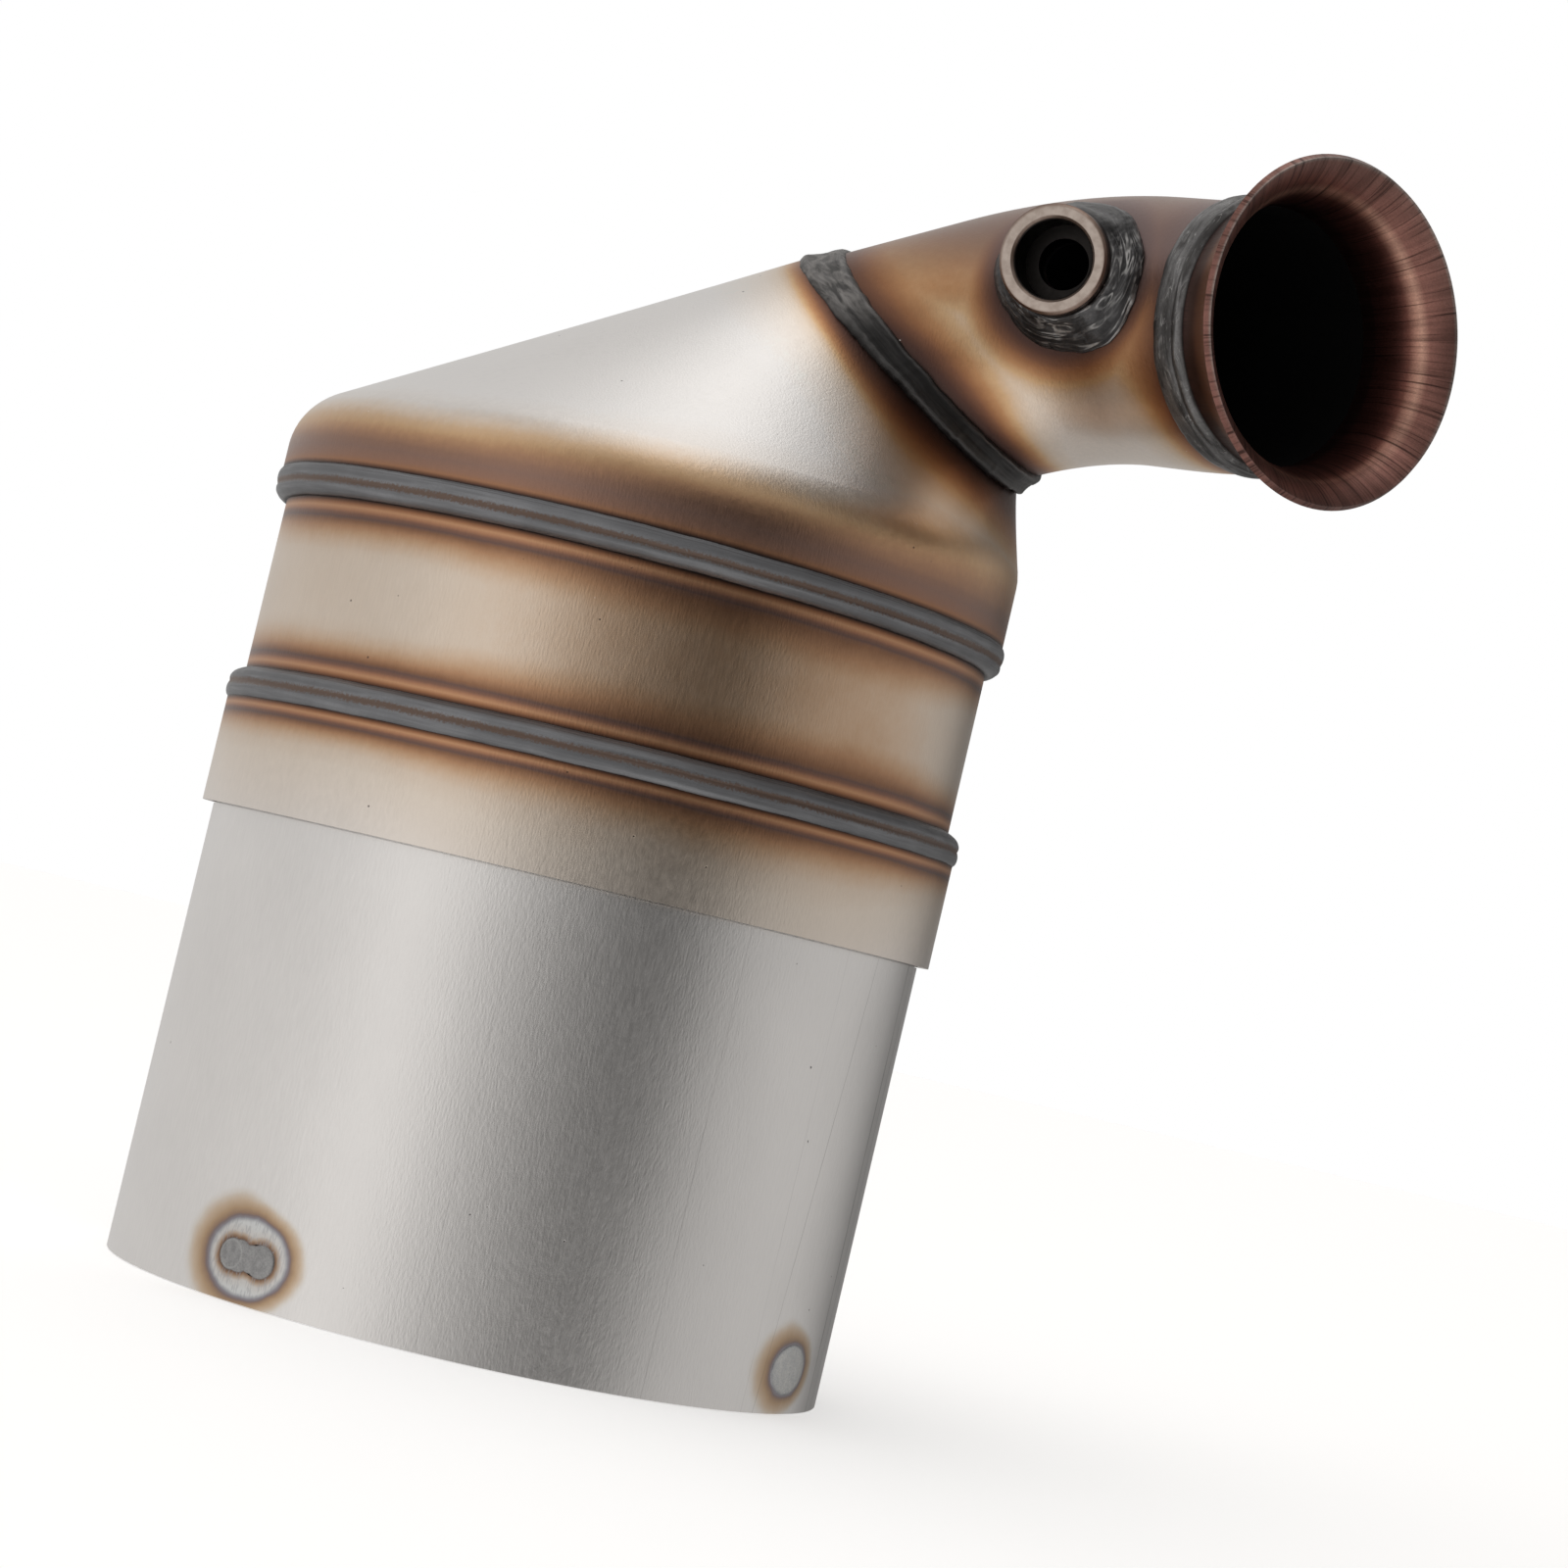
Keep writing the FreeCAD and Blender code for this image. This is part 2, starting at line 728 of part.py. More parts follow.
block_core = cylinder("block_core", skin_r, block_height, at(z=size("block_bottom")))
for kind, boxes in corner_sets.items():
    group = compound(f"{kind}_squares", boxes)
    cut = boolean("Part::Common", f"{kind}_blocks", group, block_core)
    piece(cut, f"filter_segments_{kind}")
all_squares = compound("all_squares", [b for boxes in corner_sets.values() for b in boxes])
piece(boolean("Part::Cut", "cement_grid", block_core, all_squares), "segment_cement")

skin = turned_body(
    "skin",
    [
        (skin_r, size("block_bottom")),
        (block_r, size("block_bottom")),
        (block_r, block_top),
        (skin_r, block_top),
    ],
)
piece(skin, "block_skin")

# Mat and the mesh seals that close its ends.
seal = size("seal_height")
mat = turned_body(
    "mat",
    [
        (block_r, size("block_bottom") + seal),
        (can_bore, size("block_bottom") + seal),
        (can_bore, size("can_height") - seal),
        (block_r, size("can_height") - seal),
    ],
)
piece(mat, "support_mat")

seals = []
for name, low in (("lower_seal", size("block_bottom")), ("upper_seal", size("can_height") - seal)):
    seals.append(
        turned_body(
            name,
            [(block_r, low), (can_bore, low), (can_bore, low + seal), (block_r, low + seal)],
        )
    )
piece(compound("both_seals", seals), "seal_rings")

doc.recompute()

failed = [
    f"{thing.Name}: {thing.State}"
    for thing in doc.Objects
    if "Invalid" in thing.State or "Error" in thing.State
]
for thing in PIECES:
    shape = thing.Shape
    if shape.isNull() or not shape.isValid() or not shape.Solids:
        failed.append(f"{thing.Label}: shape")
if failed:
    raise RuntimeError("; ".join(failed))

os.makedirs("parts", exist_ok=True)
for thing in PIECES:
    shape = thing.Shape
    print(thing.Label, len(shape.Solids), round(shape.Volume / 1000.0, 3), "cm3")
    shape.exportStep(f"parts/{thing.Label}.step")
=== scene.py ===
# %% [markdown]
# A diesel particulate filter: a round steel can that holds a ceramic honeycomb, a pressed
# cone, a bent outlet tube with a flared mouth, and a boss for a sensor. What makes the real
# one look like itself is its welding. Every bead has driven bands of oxide colour into the
# sheet beside it, from near black through copper and gold to bare silver. The solid model
# gives the shapes, and this script gives them that steel, that heat and those beads.

import math

import bmesh
import bpy
from mathutils import Euler, Matrix, Vector, noise
from mathutils.bvhtree import BVHTree


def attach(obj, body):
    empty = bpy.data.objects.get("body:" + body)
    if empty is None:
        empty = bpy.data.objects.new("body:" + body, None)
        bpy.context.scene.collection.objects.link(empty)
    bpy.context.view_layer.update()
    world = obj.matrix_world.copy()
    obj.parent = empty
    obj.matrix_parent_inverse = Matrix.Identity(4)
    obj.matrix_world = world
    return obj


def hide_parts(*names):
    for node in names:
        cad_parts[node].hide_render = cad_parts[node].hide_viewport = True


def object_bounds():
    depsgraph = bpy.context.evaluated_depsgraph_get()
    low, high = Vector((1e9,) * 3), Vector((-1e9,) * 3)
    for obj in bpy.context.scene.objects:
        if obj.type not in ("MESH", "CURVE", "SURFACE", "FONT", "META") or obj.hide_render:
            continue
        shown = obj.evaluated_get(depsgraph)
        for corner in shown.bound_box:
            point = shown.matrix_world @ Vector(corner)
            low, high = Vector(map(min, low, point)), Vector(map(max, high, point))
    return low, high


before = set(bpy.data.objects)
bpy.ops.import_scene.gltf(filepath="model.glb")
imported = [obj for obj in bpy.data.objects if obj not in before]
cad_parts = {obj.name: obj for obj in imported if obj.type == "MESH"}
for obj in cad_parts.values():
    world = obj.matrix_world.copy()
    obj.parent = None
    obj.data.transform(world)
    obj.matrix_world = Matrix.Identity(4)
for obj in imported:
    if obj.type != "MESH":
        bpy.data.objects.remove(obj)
cad_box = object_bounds()
print("nodes", len(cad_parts))

MM = 0.001


def metres(*millimetres):
    """A point or size in metres from one in millimetres."""
    return Vector(millimetres) * MM


def linked(name, data):
    """A new object in the scene that shows some data."""
    thing = bpy.data.objects.new(name, data)
    bpy.context.collection.objects.link(thing)
    return thing


# %% [markdown]
# The camera stands where the photographer stood: a little above the lower rim, nine tenths
# of a metre away, with a long lens that hardly bends the parallels. The object looks tilted
# in the picture only because the camera is rolled, so the roll goes into the camera and the
# part stands upright on its rim.

# %% Camera
CAMERA_PLACE = metres(0, -855.916, 89.005)
CAMERA_TURN = (math.radians(92.695), math.radians(-13.2325), math.radians(-3.3347))
CAMERA_LENS_MM, SENSOR_WIDTH_MM = 90.96, 36.0

camera_data = bpy.data.cameras.new("photo_view")
camera_data.lens = CAMERA_LENS_MM
camera_data.sensor_width = SENSOR_WIDTH_MM
camera_data.clip_start = 0.01
camera = linked("photo_view", camera_data)
camera.location = CAMERA_PLACE
camera.rotation_euler = Euler(CAMERA_TURN, "XYZ")
bpy.context.scene.camera = camera
bpy.context.scene.view_settings.view_transform = "Standard"
print("camera at", tuple(round(v, 3) for v in camera.location))

# %% [markdown]
# Node trees get long when each node is placed by hand. This helper adds a node, fills its
# inputs with numbers or with other nodes' outputs, and hands back the output, so that a
# material reads like a sum.


# %% A short way to write node trees
class Tree:
    """Adds nodes to a shader or geometry tree, one call for each."""

    def __init__(self, tree):
        self.tree = tree

    def add(self, kind, inputs=None, out=0, **settings):
        node = self.tree.nodes.new(kind)
        for name, value in settings.items():
            setattr(node, name, value)
        for name, value in (inputs or {}).items():
            if isinstance(value, bpy.types.NodeSocket):
                self.tree.links.new(value, node.inputs[name])
            else:
                node.inputs[name].default_value = value
        return node.outputs[out]

    def sum(self, kind, a, b=0.0, c=0.0, clamp=False):
        return self.add("ShaderNodeMath", {0: a, 1: b, 2: c}, operation=kind, use_clamp=clamp)

    def vec(self, kind, a, b=(0.0, 0.0, 0.0)):
        out = 1 if kind in ("DOT_PRODUCT", "LENGTH", "DISTANCE") else 0
        return self.add("ShaderNodeVectorMath", {0: a, 1: b}, out=out, operation=kind)

    def split(self, vector):
        """The x, y and z of a vector."""
        return self.add("ShaderNodeSeparateXYZ", {0: vector}).node.outputs

    def joined(self, x=0.0, y=0.0, z=0.0):
        return self.add("ShaderNodeCombineXYZ", {0: x, 1: y, 2: z})

    def off(self, value, middle):
        """How far a value lies from a middle, either way."""
        return self.sum("ABSOLUTE", self.sum("SUBTRACT", value, middle))

    def scaled(self, vector, factor):
        return self.add("ShaderNodeVectorMath", {0: vector, "Scale": factor}, operation="SCALE")

    def range(self, value, low, high, to_low=0.0, to_high=1.0, smooth=True):
        kind = "SMOOTHSTEP" if smooth else "LINEAR"
        values = {0: value, 1: low, 2: high, 3: to_low, 4: to_high}
        return self.add("ShaderNodeMapRange", values, interpolation_type=kind)

    def noise(self, vector, scale, detail=2.0, rough=0.5, distort=0.0):
        values = {"Vector": vector, "Scale": scale, "Detail": detail}
        values.update({"Roughness": rough, "Distortion": distort})
        return self.add("ShaderNodeTexNoise", values)

    def wobble(self, *noise_values):
        """Noise that swings about nought."""
        return self.sum("SUBTRACT", self.noise(*noise_values), 0.5)

    def mix(self, factor, a, b, blend="MIX"):
        node = self.tree.nodes.new("ShaderNodeMix")
        node.data_type = "RGBA"
        node.blend_type = blend
        for index, value in ((0, factor), (6, a), (7, b)):
            if isinstance(value, bpy.types.NodeSocket):
                self.tree.links.new(value, node.inputs[index])
            elif index == 0:
                node.inputs[index].default_value = value
            else:
                node.inputs[index].default_value = (*value, 1.0)
        return node.outputs[2]

    def grey(self, value):
        return self.add("ShaderNodeCombineColor", {0: value, 1: value, 2: value})

    def toned(self, colour, tone):
        """A colour made lighter or darker by a factor."""
        return self.mix(1.0, colour, self.grey(tone), "MULTIPLY")

    def ramp(self, factor, stops):
        node = self.tree.nodes.new("ShaderNodeValToRGB")
        node.color_ramp.interpolation = "LINEAR"
        while len(node.color_ramp.elements) < len(stops):
            node.color_ramp.elements.new(0.5)
        for element, (place, colour) in zip(node.color_ramp.elements, stops):
            element.position = place
            element.color = (*colour, 1.0)
        self.tree.links.new(factor, node.inputs[0])
        return node.outputs[0]


def named_group(name, inputs, outputs):
    """An empty shader group with the sockets that are named."""
    group = bpy.data.node_groups.new(name, "ShaderNodeTree")
    for title, kind, start in inputs:
        socket = group.interface.new_socket(title, in_out="INPUT", socket_type=kind)
        socket.default_value = start
    for title, kind in outputs:
        group.interface.new_socket(title, in_out="OUTPUT", socket_type=kind)
    given = group.nodes.new("NodeGroupInput")
    taken = group.nodes.new("NodeGroupOutput")
    return group, Tree(group), given.outputs, taken.inputs


FLOAT, VECTOR, COLOUR = "NodeSocketFloat", "NodeSocketVector", "NodeSocketColor"
print("helpers ready")

# %% [markdown]
# Everything on this part is round about some axis: the can, the neck joint, the tube end,
# the boss. So one group does the geometry for all of them. Given an axis, it says how far a
# point lies from it, how far along it, and in which direction round it. Distances come out
# in millimetres, which keeps the colour bands in figures that a ruler can check.

# %% Where a point lies about an axis
round_axis, t, given, taken = named_group(
    "Round an axis",
    [("Centre", VECTOR, (0, 0, 0)), ("Axis", VECTOR, (0, 0, 1))],
    [("Radius", FLOAT), ("Along", FLOAT), ("Direction", VECTOR), ("Place", VECTOR)],
)
place = t.scaled(t.add("ShaderNodeTexCoord", out="Object"), 1000.0)
offset = t.vec("SUBTRACT", place, given["Centre"])
along = t.vec("DOT_PRODUCT", offset, given["Axis"])
across = t.vec("SUBTRACT", offset, t.scaled(given["Axis"], along))
round_axis.links.new(t.vec("LENGTH", across), taken["Radius"])
round_axis.links.new(along, taken["Along"])
round_axis.links.new(t.vec("NORMALIZE", across), taken["Direction"])
round_axis.links.new(place, taken["Place"])
print("group", round_axis.name)

# Centres and axes of the welded joints, in millimetres, as the solid model has them.
CAN_AXIS = ((0, 0, 0), (0, 0, 1))
NECK_AXIS = ((49.8, -3.0, 223.0), (0.56637, -0.30114, 0.76717))
MOUTH_AXIS = ((115.877, -44.178, 240.079), (0.562592, -0.824728, 0.057564))
BOSS_AXIS = ((71.5, -39.7, 245.1), (-0.372416, -0.921761, -0.107999))
CAN_RADIUS = 77.5
TUBE_RADIUS = 28.5

# %% [markdown]
# Steel heated in air grows an oxide film, and the film's thickness decides its colour. The
# two ring welds ran fast and straight, so their bands are narrow and crisp: a black toe, a
# copper line that is partly the oxide's copper and partly a painted highlight on the small
# fillet beside the bead, a thin purple line, gold, then straw. The cone's skirt stayed hot
# for longer, so its brown runs on before it clears all at once. The hand welds on the tube
# soaked it longest. There the bands have merged into a deep brown that fades through gold to
# silver. All three are colour ramps over the distance from the weld in millimetres, and a
# little noise on that distance keeps the bands from looking drawn with a compass.

# %% Heat colours
BARE = (0.755, 0.735, 0.72)
RING_BANDS = [
    (0.0, (0.045, 0.030, 0.026)),
    (0.35, (0.15, 0.072, 0.044)),
    (0.8, (0.34, 0.165, 0.088)),
    # Partly a painted highlight: the bright copper near 1.3 mm is the oxide's copper and also light on
    # the small fillet beside the bead.
    (1.3, (0.52, 0.290, 0.165)),
    (1.8, (0.40, 0.205, 0.120)),
    (2.3, (0.225, 0.122, 0.088)),
    (2.9, (0.155, 0.098, 0.084)),
    (3.5, (0.26, 0.138, 0.082)),
    (4.4, (0.43, 0.245, 0.142)),
    (5.3, (0.53, 0.350, 0.225)),
    (6.5, (0.615, 0.465, 0.345)),
    (8.0, (0.67, 0.560, 0.460)),
    (11.0, (0.72, 0.635, 0.550)),
    (17.0, (0.74, 0.670, 0.605)),
    (24.0, (0.75, 0.700, 0.655)),
    (32.0, BARE),
]
SKIRT_BANDS = [
    (0.0, (0.045, 0.030, 0.026)),
    (0.4, (0.16, 0.080, 0.050)),
    (1.0, (0.34, 0.175, 0.100)),
    (2.0, (0.30, 0.170, 0.120)),
    (4.0, (0.26, 0.160, 0.125)),
    (5.5, (0.28, 0.165, 0.118)),
    (7.0, (0.37, 0.212, 0.132)),
    (8.3, (0.47, 0.280, 0.160)),
    (9.5, (0.56, 0.365, 0.210)),
    (11.0, (0.60, 0.425, 0.275)),
    (13.0, (0.675, 0.565, 0.465)),
    (15.5, (0.725, 0.685, 0.650)),
    (20.0, BARE),
]
SOAKED_BANDS = [
    (0.0, (0.055, 0.030, 0.025)),
    (1.5, (0.078, 0.037, 0.028)),
    (2.5, (0.115, 0.052, 0.033)),
    (3.7, (0.180, 0.080, 0.045)),
    (5.0, (0.30, 0.138, 0.064)),
    (6.5, (0.44, 0.232, 0.110)),
    (8.0, (0.58, 0.380, 0.212)),
    (9.5, (0.64, 0.495, 0.365)),
    (11.5, (0.70, 0.595, 0.495)),
    (16.0, (0.735, 0.665, 0.600)),
    (24.0, (0.75, 0.705, 0.665)),
    (34.0, BARE),
]


def heat_group(name, bands, drift_scale, drift_depth, ruffle):
    """A shader group that turns a distance from a weld into its oxide colour."""
    group, t, given, taken = named_group(
        name,
        [("Distance", FLOAT, 0.0), ("Place", VECTOR, (0, 0, 0))],
        [("Color", COLOUR), ("Reach", FLOAT)],
    )
    drift = t.wobble(given["Place"], drift_scale, 3.0, 0.55)
    fine = t.wobble(given["Place"], 0.55, 2.0, 0.6)
    shift = t.sum("MULTIPLY_ADD", drift, drift_depth, t.sum("MULTIPLY", fine, ruffle))
    spread = t.sum("MULTIPLY", shift, t.range(given["Distance"], 0.0, 9.0, 0.10, 1.4))
    reach = t.sum("ADD", given["Distance"], spread)
    last = bands[-1][0]
    colour = t.ramp(t.sum("DIVIDE", reach, last, clamp=True), [(mm / last, c) for mm, c in bands])
    group.links.new(colour, taken["Color"])
    group.links.new(reach, taken["Reach"])
    return group


RING_HEAT = heat_group("Ring weld heat", RING_BANDS, 0.030, 2.2, 0.6)
SKIRT_HEAT = heat_group("Skirt heat", SKIRT_BANDS, 0.030, 2.2, 0.8)
SOAKED_HEAT = heat_group("Soaked heat", SOAKED_BANDS, 0.045, 1.7, 0.5)
print("heat groups", RING_HEAT.name, SKIRT_HEAT.name, SOAKED_HEAT.name, sep=", ")

# %% [markdown]
# All the sheet pieces share one recipe. Metallic shading with a fairly broad gloss, a grain
# that runs the way the sheet was rolled, a faint dapple like orange peel, a few specks, and
# the heat colour of whichever weld is nearest. Each piece only says how far a point lies
# from the welds that it touches.


# %% The steel recipe
def about(t, axis):
    """The outputs of Round an axis for a centre and an axis."""
    node = t.tree.nodes.new("ShaderNodeGroup")
    node.node_tree = round_axis
    node.inputs["Centre"].default_value = axis[0]
    node.inputs["Axis"].default_value = axis[1]
    return node.outputs


def joint_gap(t, axis_outputs, radius):
    """Distance in millimetres from a round joint of this radius about an axis."""
    off = t.sum("SUBTRACT", axis_outputs["Radius"], radius)
    return t.vec("LENGTH", t.joined(off, axis_outputs["Along"]))


# Where the torch dwelt, which is also where the can's long shaded stripe falls: the middle
# of the place in degrees round the can, how many degrees from there the bands are still
# widest, and where they are back to their own width.
DWELL_AND_SHADE_MIDDLE, DWELL_AND_SHADE_FULL, DWELL_AND_SHADE_END = -71, 16, 58
FINE_LINES_END = 3.3


def wide_at_front(t, place, distance, least):
    """Shortens a distance on the right of the front, where the torch dwelt and the browns
    reach further. There the deeper browns are also painted shade, for the can's long shaded
    stripe. The fine lines close to a bead stay where they are."""
    split = t.split(place)
    bearing = t.sum("ARCTAN2", split[1], split[0])
    off = t.off(bearing, math.radians(DWELL_AND_SHADE_MIDDLE))
    share = t.range(off, math.radians(DWELL_AND_SHADE_FULL), math.radians(DWELL_AND_SHADE_END), least, 1.0)
    beyond = t.sum("MAXIMUM", t.sum("SUBTRACT", distance, FINE_LINES_END), 0.0)
    spared = t.sum("MULTIPLY", beyond, share)
    return t.sum("ADD", t.sum("MINIMUM", distance, FINE_LINES_END), spared)


def nearest(t, distances, softness):
    """The smallest of several distances, with soft corners between them."""
    best = distances[0]
    for other in distances[1:]:
        best = t.sum("SMOOTH_MIN", best, other, softness)
    return best


def new_material(name):
    material = bpy.data.materials.new(name)
    material.use_nodes = True
    material.node_tree.nodes.clear()
    return material, Tree(material.node_tree)


def close_material(material, shader):
    out = material.node_tree.nodes.new("ShaderNodeOutputMaterial")
    material.node_tree.links.new(shader, out.inputs[0])
    return material


def surfaced(material, t, colour, roughness, height, bump, metal=0.0):
    """Closes a material with one shader. Bump is its strength and its depth in millimetres."""
    strength, depth = bump
    values = {"Strength": strength, "Distance": depth * MM, "Height": height}
    normal = t.add("ShaderNodeBump", values)
    values = {"Base Color": colour, "Roughness": roughness, "Metallic": metal, "Normal": normal}
    return close_material(material, t.add("ShaderNodeBsdfPrincipled", values))


def heated(t, group, distance, place):
    """The oxide colour at a distance from a weld, and the distance it used."""
    node = t.tree.nodes.new("ShaderNodeGroup")
    node.node_tree = group
    t.tree.links.new(distance, node.inputs["Distance"])
    t.tree.links.new(place, node.inputs["Place"])
    return node.outputs["Color"], node.outputs["Reach"]


def specks(t, place, cell, radius, amount):
    """1 in small scattered spots, 0 elsewhere. Cell and radius are in millimetres."""
    far = t.add("ShaderNodeTexVoronoi", {"Vector": place, "Scale": 1.0 / cell}, out="Distance")
    seed = t.noise(place, 0.9 / cell, 1.0)
    spot = t.range(far, radius * 0.6 / cell, radius / cell, 1.0, 0.0)
    return t.sum("MULTIPLY", spot, t.range(seed, 1.0 - amount, 1.02 - amount))


PEEL_BUMP = (0.45, 0.10)
SCALE_SPECK, BARE_SPECK = (0.05, 0.04, 0.035), (0.85, 0.83, 0.80)


def steel(name, distance_of, bands, grain, rough, extra=None, metal=1.0):
    """Sheet steel. distance_of(t) gives the distance to heat and the place; grain is how
    finely it streaks along x, y and z per millimetre; extra may repaint the colour."""
    material, t = new_material(name)
    distance, place = distance_of(t)
    colour, reach = heated(t, bands, distance, place)
    streak = t.noise(t.vec("MULTIPLY", place, grain), 1.0, 3.0, 0.6)
    cloud = t.noise(place, 0.03, 3.0, 0.5)
    tone = t.range(streak, 0.3, 0.7, 0.965, 1.03, smooth=False)
    tone = t.sum("MULTIPLY", tone, t.range(cloud, 0.3, 0.7, 0.97, 1.03, smooth=False))
    colour = t.toned(colour, tone)
    dark_specks = specks(t, place, 6.0, 0.30, 0.42)
    colour = t.mix(t.sum("MULTIPLY", dark_specks, 0.75), colour, SCALE_SPECK)
    light_specks = specks(t, t.vec("ADD", place, (31.0, 17.0, 5.0)), 5.0, 0.20, 0.38)
    colour = t.mix(t.sum("MULTIPLY", light_specks, 0.6), colour, BARE_SPECK)
    roughness = t.range(streak, 0.3, 0.7, rough - 0.02, rough + 0.03, smooth=False)
    roughness = t.sum("ADD", roughness, t.range(reach, 0.5, 6.0, 0.08, 0.0))
    if extra:
        colour, roughness = extra(t, place, colour, roughness)
    dapple = t.noise(t.vec("MULTIPLY", place, (2.3, 2.3, 0.7)), 1.0, 2.0, 0.5)
    height = t.sum("MULTIPLY_ADD", streak, 0.25, dapple)
    height = t.sum("MULTIPLY_ADD", dark_specks, -1.5, height)
    return surfaced(material, t, colour, roughness, height, PEEL_BUMP, metal)


def dress(node, material):
    """Gives a solid model's node its material."""
    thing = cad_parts[node]
    thing.data.materials.clear()
    thing.data.materials.append(material)


print("steel recipe ready")

# %% [markdown]
# The can below the sleeve was never near the torch, so it stays silver with a grain that
# runs up its side. Only the plug welds at its foot left marks: each pair of spots sits in a
# scraped disc with a purple edge, and a brown stain spreads from it. Above the sleeve the
# can passes between the two rings of weld and keeps the tan of both.

# %% Can
# Each hairline's bearing at the rim, degrees per millimetre of lean, half width and strength.
HAIRLINES = [
    (-37.6, 0.0638, 0.14, 0.34), (-61.0, 0.003, 0.12, 0.26), (-40.6, 0.003, 0.10, 0.18),
    (-17.2, 0.0, 0.5, 0.36), (-13.6, 0.0, 0.4, 0.24), (-10.5, 0.0, 0.3, 0.16),
    (-96.0, 0.0, 0.10, 0.20),
]
# Heights in millimetres: the sleeve's free edge, and the four edges of the two ring beads.
SLEEVE_EDGE = 96.0
SLEEVE_TOE, BAND_LOW, BAND_HIGH, CONE_TOE = 118.85, 125.5, 161.4, 168.0
SKIRT_TILT = math.radians(0.8)
TILT = math.tan(SKIRT_TILT)
# A distance that no band reaches, for sheet that stayed cold.
COLD = 60.0
PLUG_HEIGHT = 9.2
PLUG_BEARINGS, PAIR_BEARINGS = (-29.5, 150.5), (-125.2, 54.8)
SINGLE_WIDE, SINGLE_TALL = 7.6, 5.5
DISC_WIDE, DISC_TALL = 10.3, 8.1
BLOBS = [(-3.9, 3.35), (-1.9, 3.4), (1.2, 2.95), (3.6, 3.5)]
STAIN = [
    (0.0, (0.27, 0.245, 0.265)),
    (0.4, (0.235, 0.185, 0.180)),
    (0.8, (0.32, 0.218, 0.155)),
    (1.7, (0.46, 0.322, 0.208)),
    (3.0, (0.58, 0.455, 0.340)),
    (4.4, (0.69, 0.635, 0.575)),
    (6.0, BARE),
]
DISC_REACH = 5.0
DISC_TONES = [
    (0.0, (0.20, 0.130, 0.095)), (0.07, (0.30, 0.195, 0.130)), (0.16, (0.46, 0.355, 0.275)),
    (0.30, (0.60, 0.575, 0.550)), (0.62, (0.64, 0.645, 0.640)), (1.0, (0.60, 0.610, 0.615)),
]


def foot_of(bearing, shift=0.0):
    """A plug weld's centre on the can, in millimetres, shifted sideways if asked."""
    a = math.radians(bearing)
    out, side = Vector((math.cos(a), math.sin(a), 0)), Vector((-math.sin(a), math.cos(a), 0))
    return out * CAN_RADIUS + side * shift + Vector((0, 0, PLUG_HEIGHT))


def oval(t, place, bearing, wide, tall):
    """Distance in millimetres outside an oval on the can, and the way sideways from it."""
    a = math.radians(bearing)
    offset = t.vec("SUBTRACT", place, tuple(foot_of(bearing)))
    side = t.vec("DOT_PRODUCT", offset, (-math.sin(a), math.cos(a), 0.0))
    out = t.vec("DOT_PRODUCT", offset, (math.cos(a), math.sin(a), 0.0))
    round_off = t.joined(t.sum("MULTIPLY", side, tall / wide), out, t.split(offset)[2])
    return t.sum("SUBTRACT", t.vec("LENGTH", round_off), tall), side


def blobs(t, place, bearing):
    """Distances in millimetres outside a pair of plug welds and outside its left blob."""
    far = [t.vec("DISTANCE", place, tuple(foot_of(bearing, middle))) for middle, _ in BLOBS]
    gaps = [t.sum("SUBTRACT", off, radius) for off, (_, radius) in zip(far, BLOBS)]
    return nearest(t, gaps, 0.0), gaps[0]


def stain(t, far, side, colour):
    """Blue rim and brown stain outwards from a distance of nought, wider on the left."""
    last = STAIN[-1][0]
    far = t.sum("MULTIPLY", far, t.range(side, -5.0, 7.0, 0.9, 1.5))
    tint = t.ramp(t.sum("DIVIDE", far, last, clamp=True), [(mm / last, c) for mm, c in STAIN])
    shown = t.sum("MULTIPLY", t.range(far, -0.7, -0.4), t.range(far, 3.8, last, 1.0, 0.0))
    return t.mix(shown, colour, tint)


def can_marks(t, place, colour, roughness):
    """Scraped disc and stain round each plug weld, and a few long hairlines up the can."""
    wobble = t.wobble(place, 0.30, 2.0)
    hair = t.noise(t.vec("MULTIPLY", place, (2.6, 2.6, 0.5)), 1.0, 2.0)
    for bearing in PLUG_BEARINGS:
        far, side = oval(t, place, bearing, SINGLE_WIDE, SINGLE_TALL)
        colour = stain(t, t.sum("MULTIPLY_ADD", wobble, 0.8, far), side, colour)
    for bearing in PAIR_BEARINGS:
        far, side = oval(t, place, bearing, DISC_WIDE, DISC_TALL)
        edge = t.sum("MULTIPLY_ADD", wobble, 0.8, far)
        colour = stain(t, edge, side, colour)
        near = t.sum("MULTIPLY_ADD", wobble, 0.5, blobs(t, place, bearing)[0])
        inner = t.ramp(t.sum("DIVIDE", near, DISC_REACH, clamp=True), DISC_TONES)
        inner = t.mix(t.range(hair, 0.50, 0.64, 0.0, 0.45), inner, (0.36, 0.36, 0.375))
        inner = t.mix(t.range(edge, -1.1, -0.1, 0.0, 0.85), inner, (0.29, 0.285, 0.31))
        colour = t.mix(t.range(edge, -0.35, 0.0, 1.0, 0.0), colour, inner)
    split = t.split(place)
    bearing = t.sum("MULTIPLY", t.sum("ARCTAN2", split[1], split[0]), 180 / math.pi)
    broken = t.range(t.noise(place, 0.05, 2.0), 0.30, 0.65, 0.5, 1.0)
    broken = t.sum("MULTIPLY", broken, t.range(split[2], 100.0, 112.0, 1.0, 0.0))
    for at, lean, wide, depth in HAIRLINES:
        course = t.sum("MULTIPLY_ADD", split[2], lean, at)
        course = t.sum("ADD", course, t.sum("MULTIPLY", wobble, 0.25))
        line = t.range(t.off(bearing, course), wide * 0.3, wide, depth, 0.0)
        colour = t.mix(t.sum("MULTIPLY", line, broken), colour, (0.12, 0.11, 0.105))
    return colour, roughness


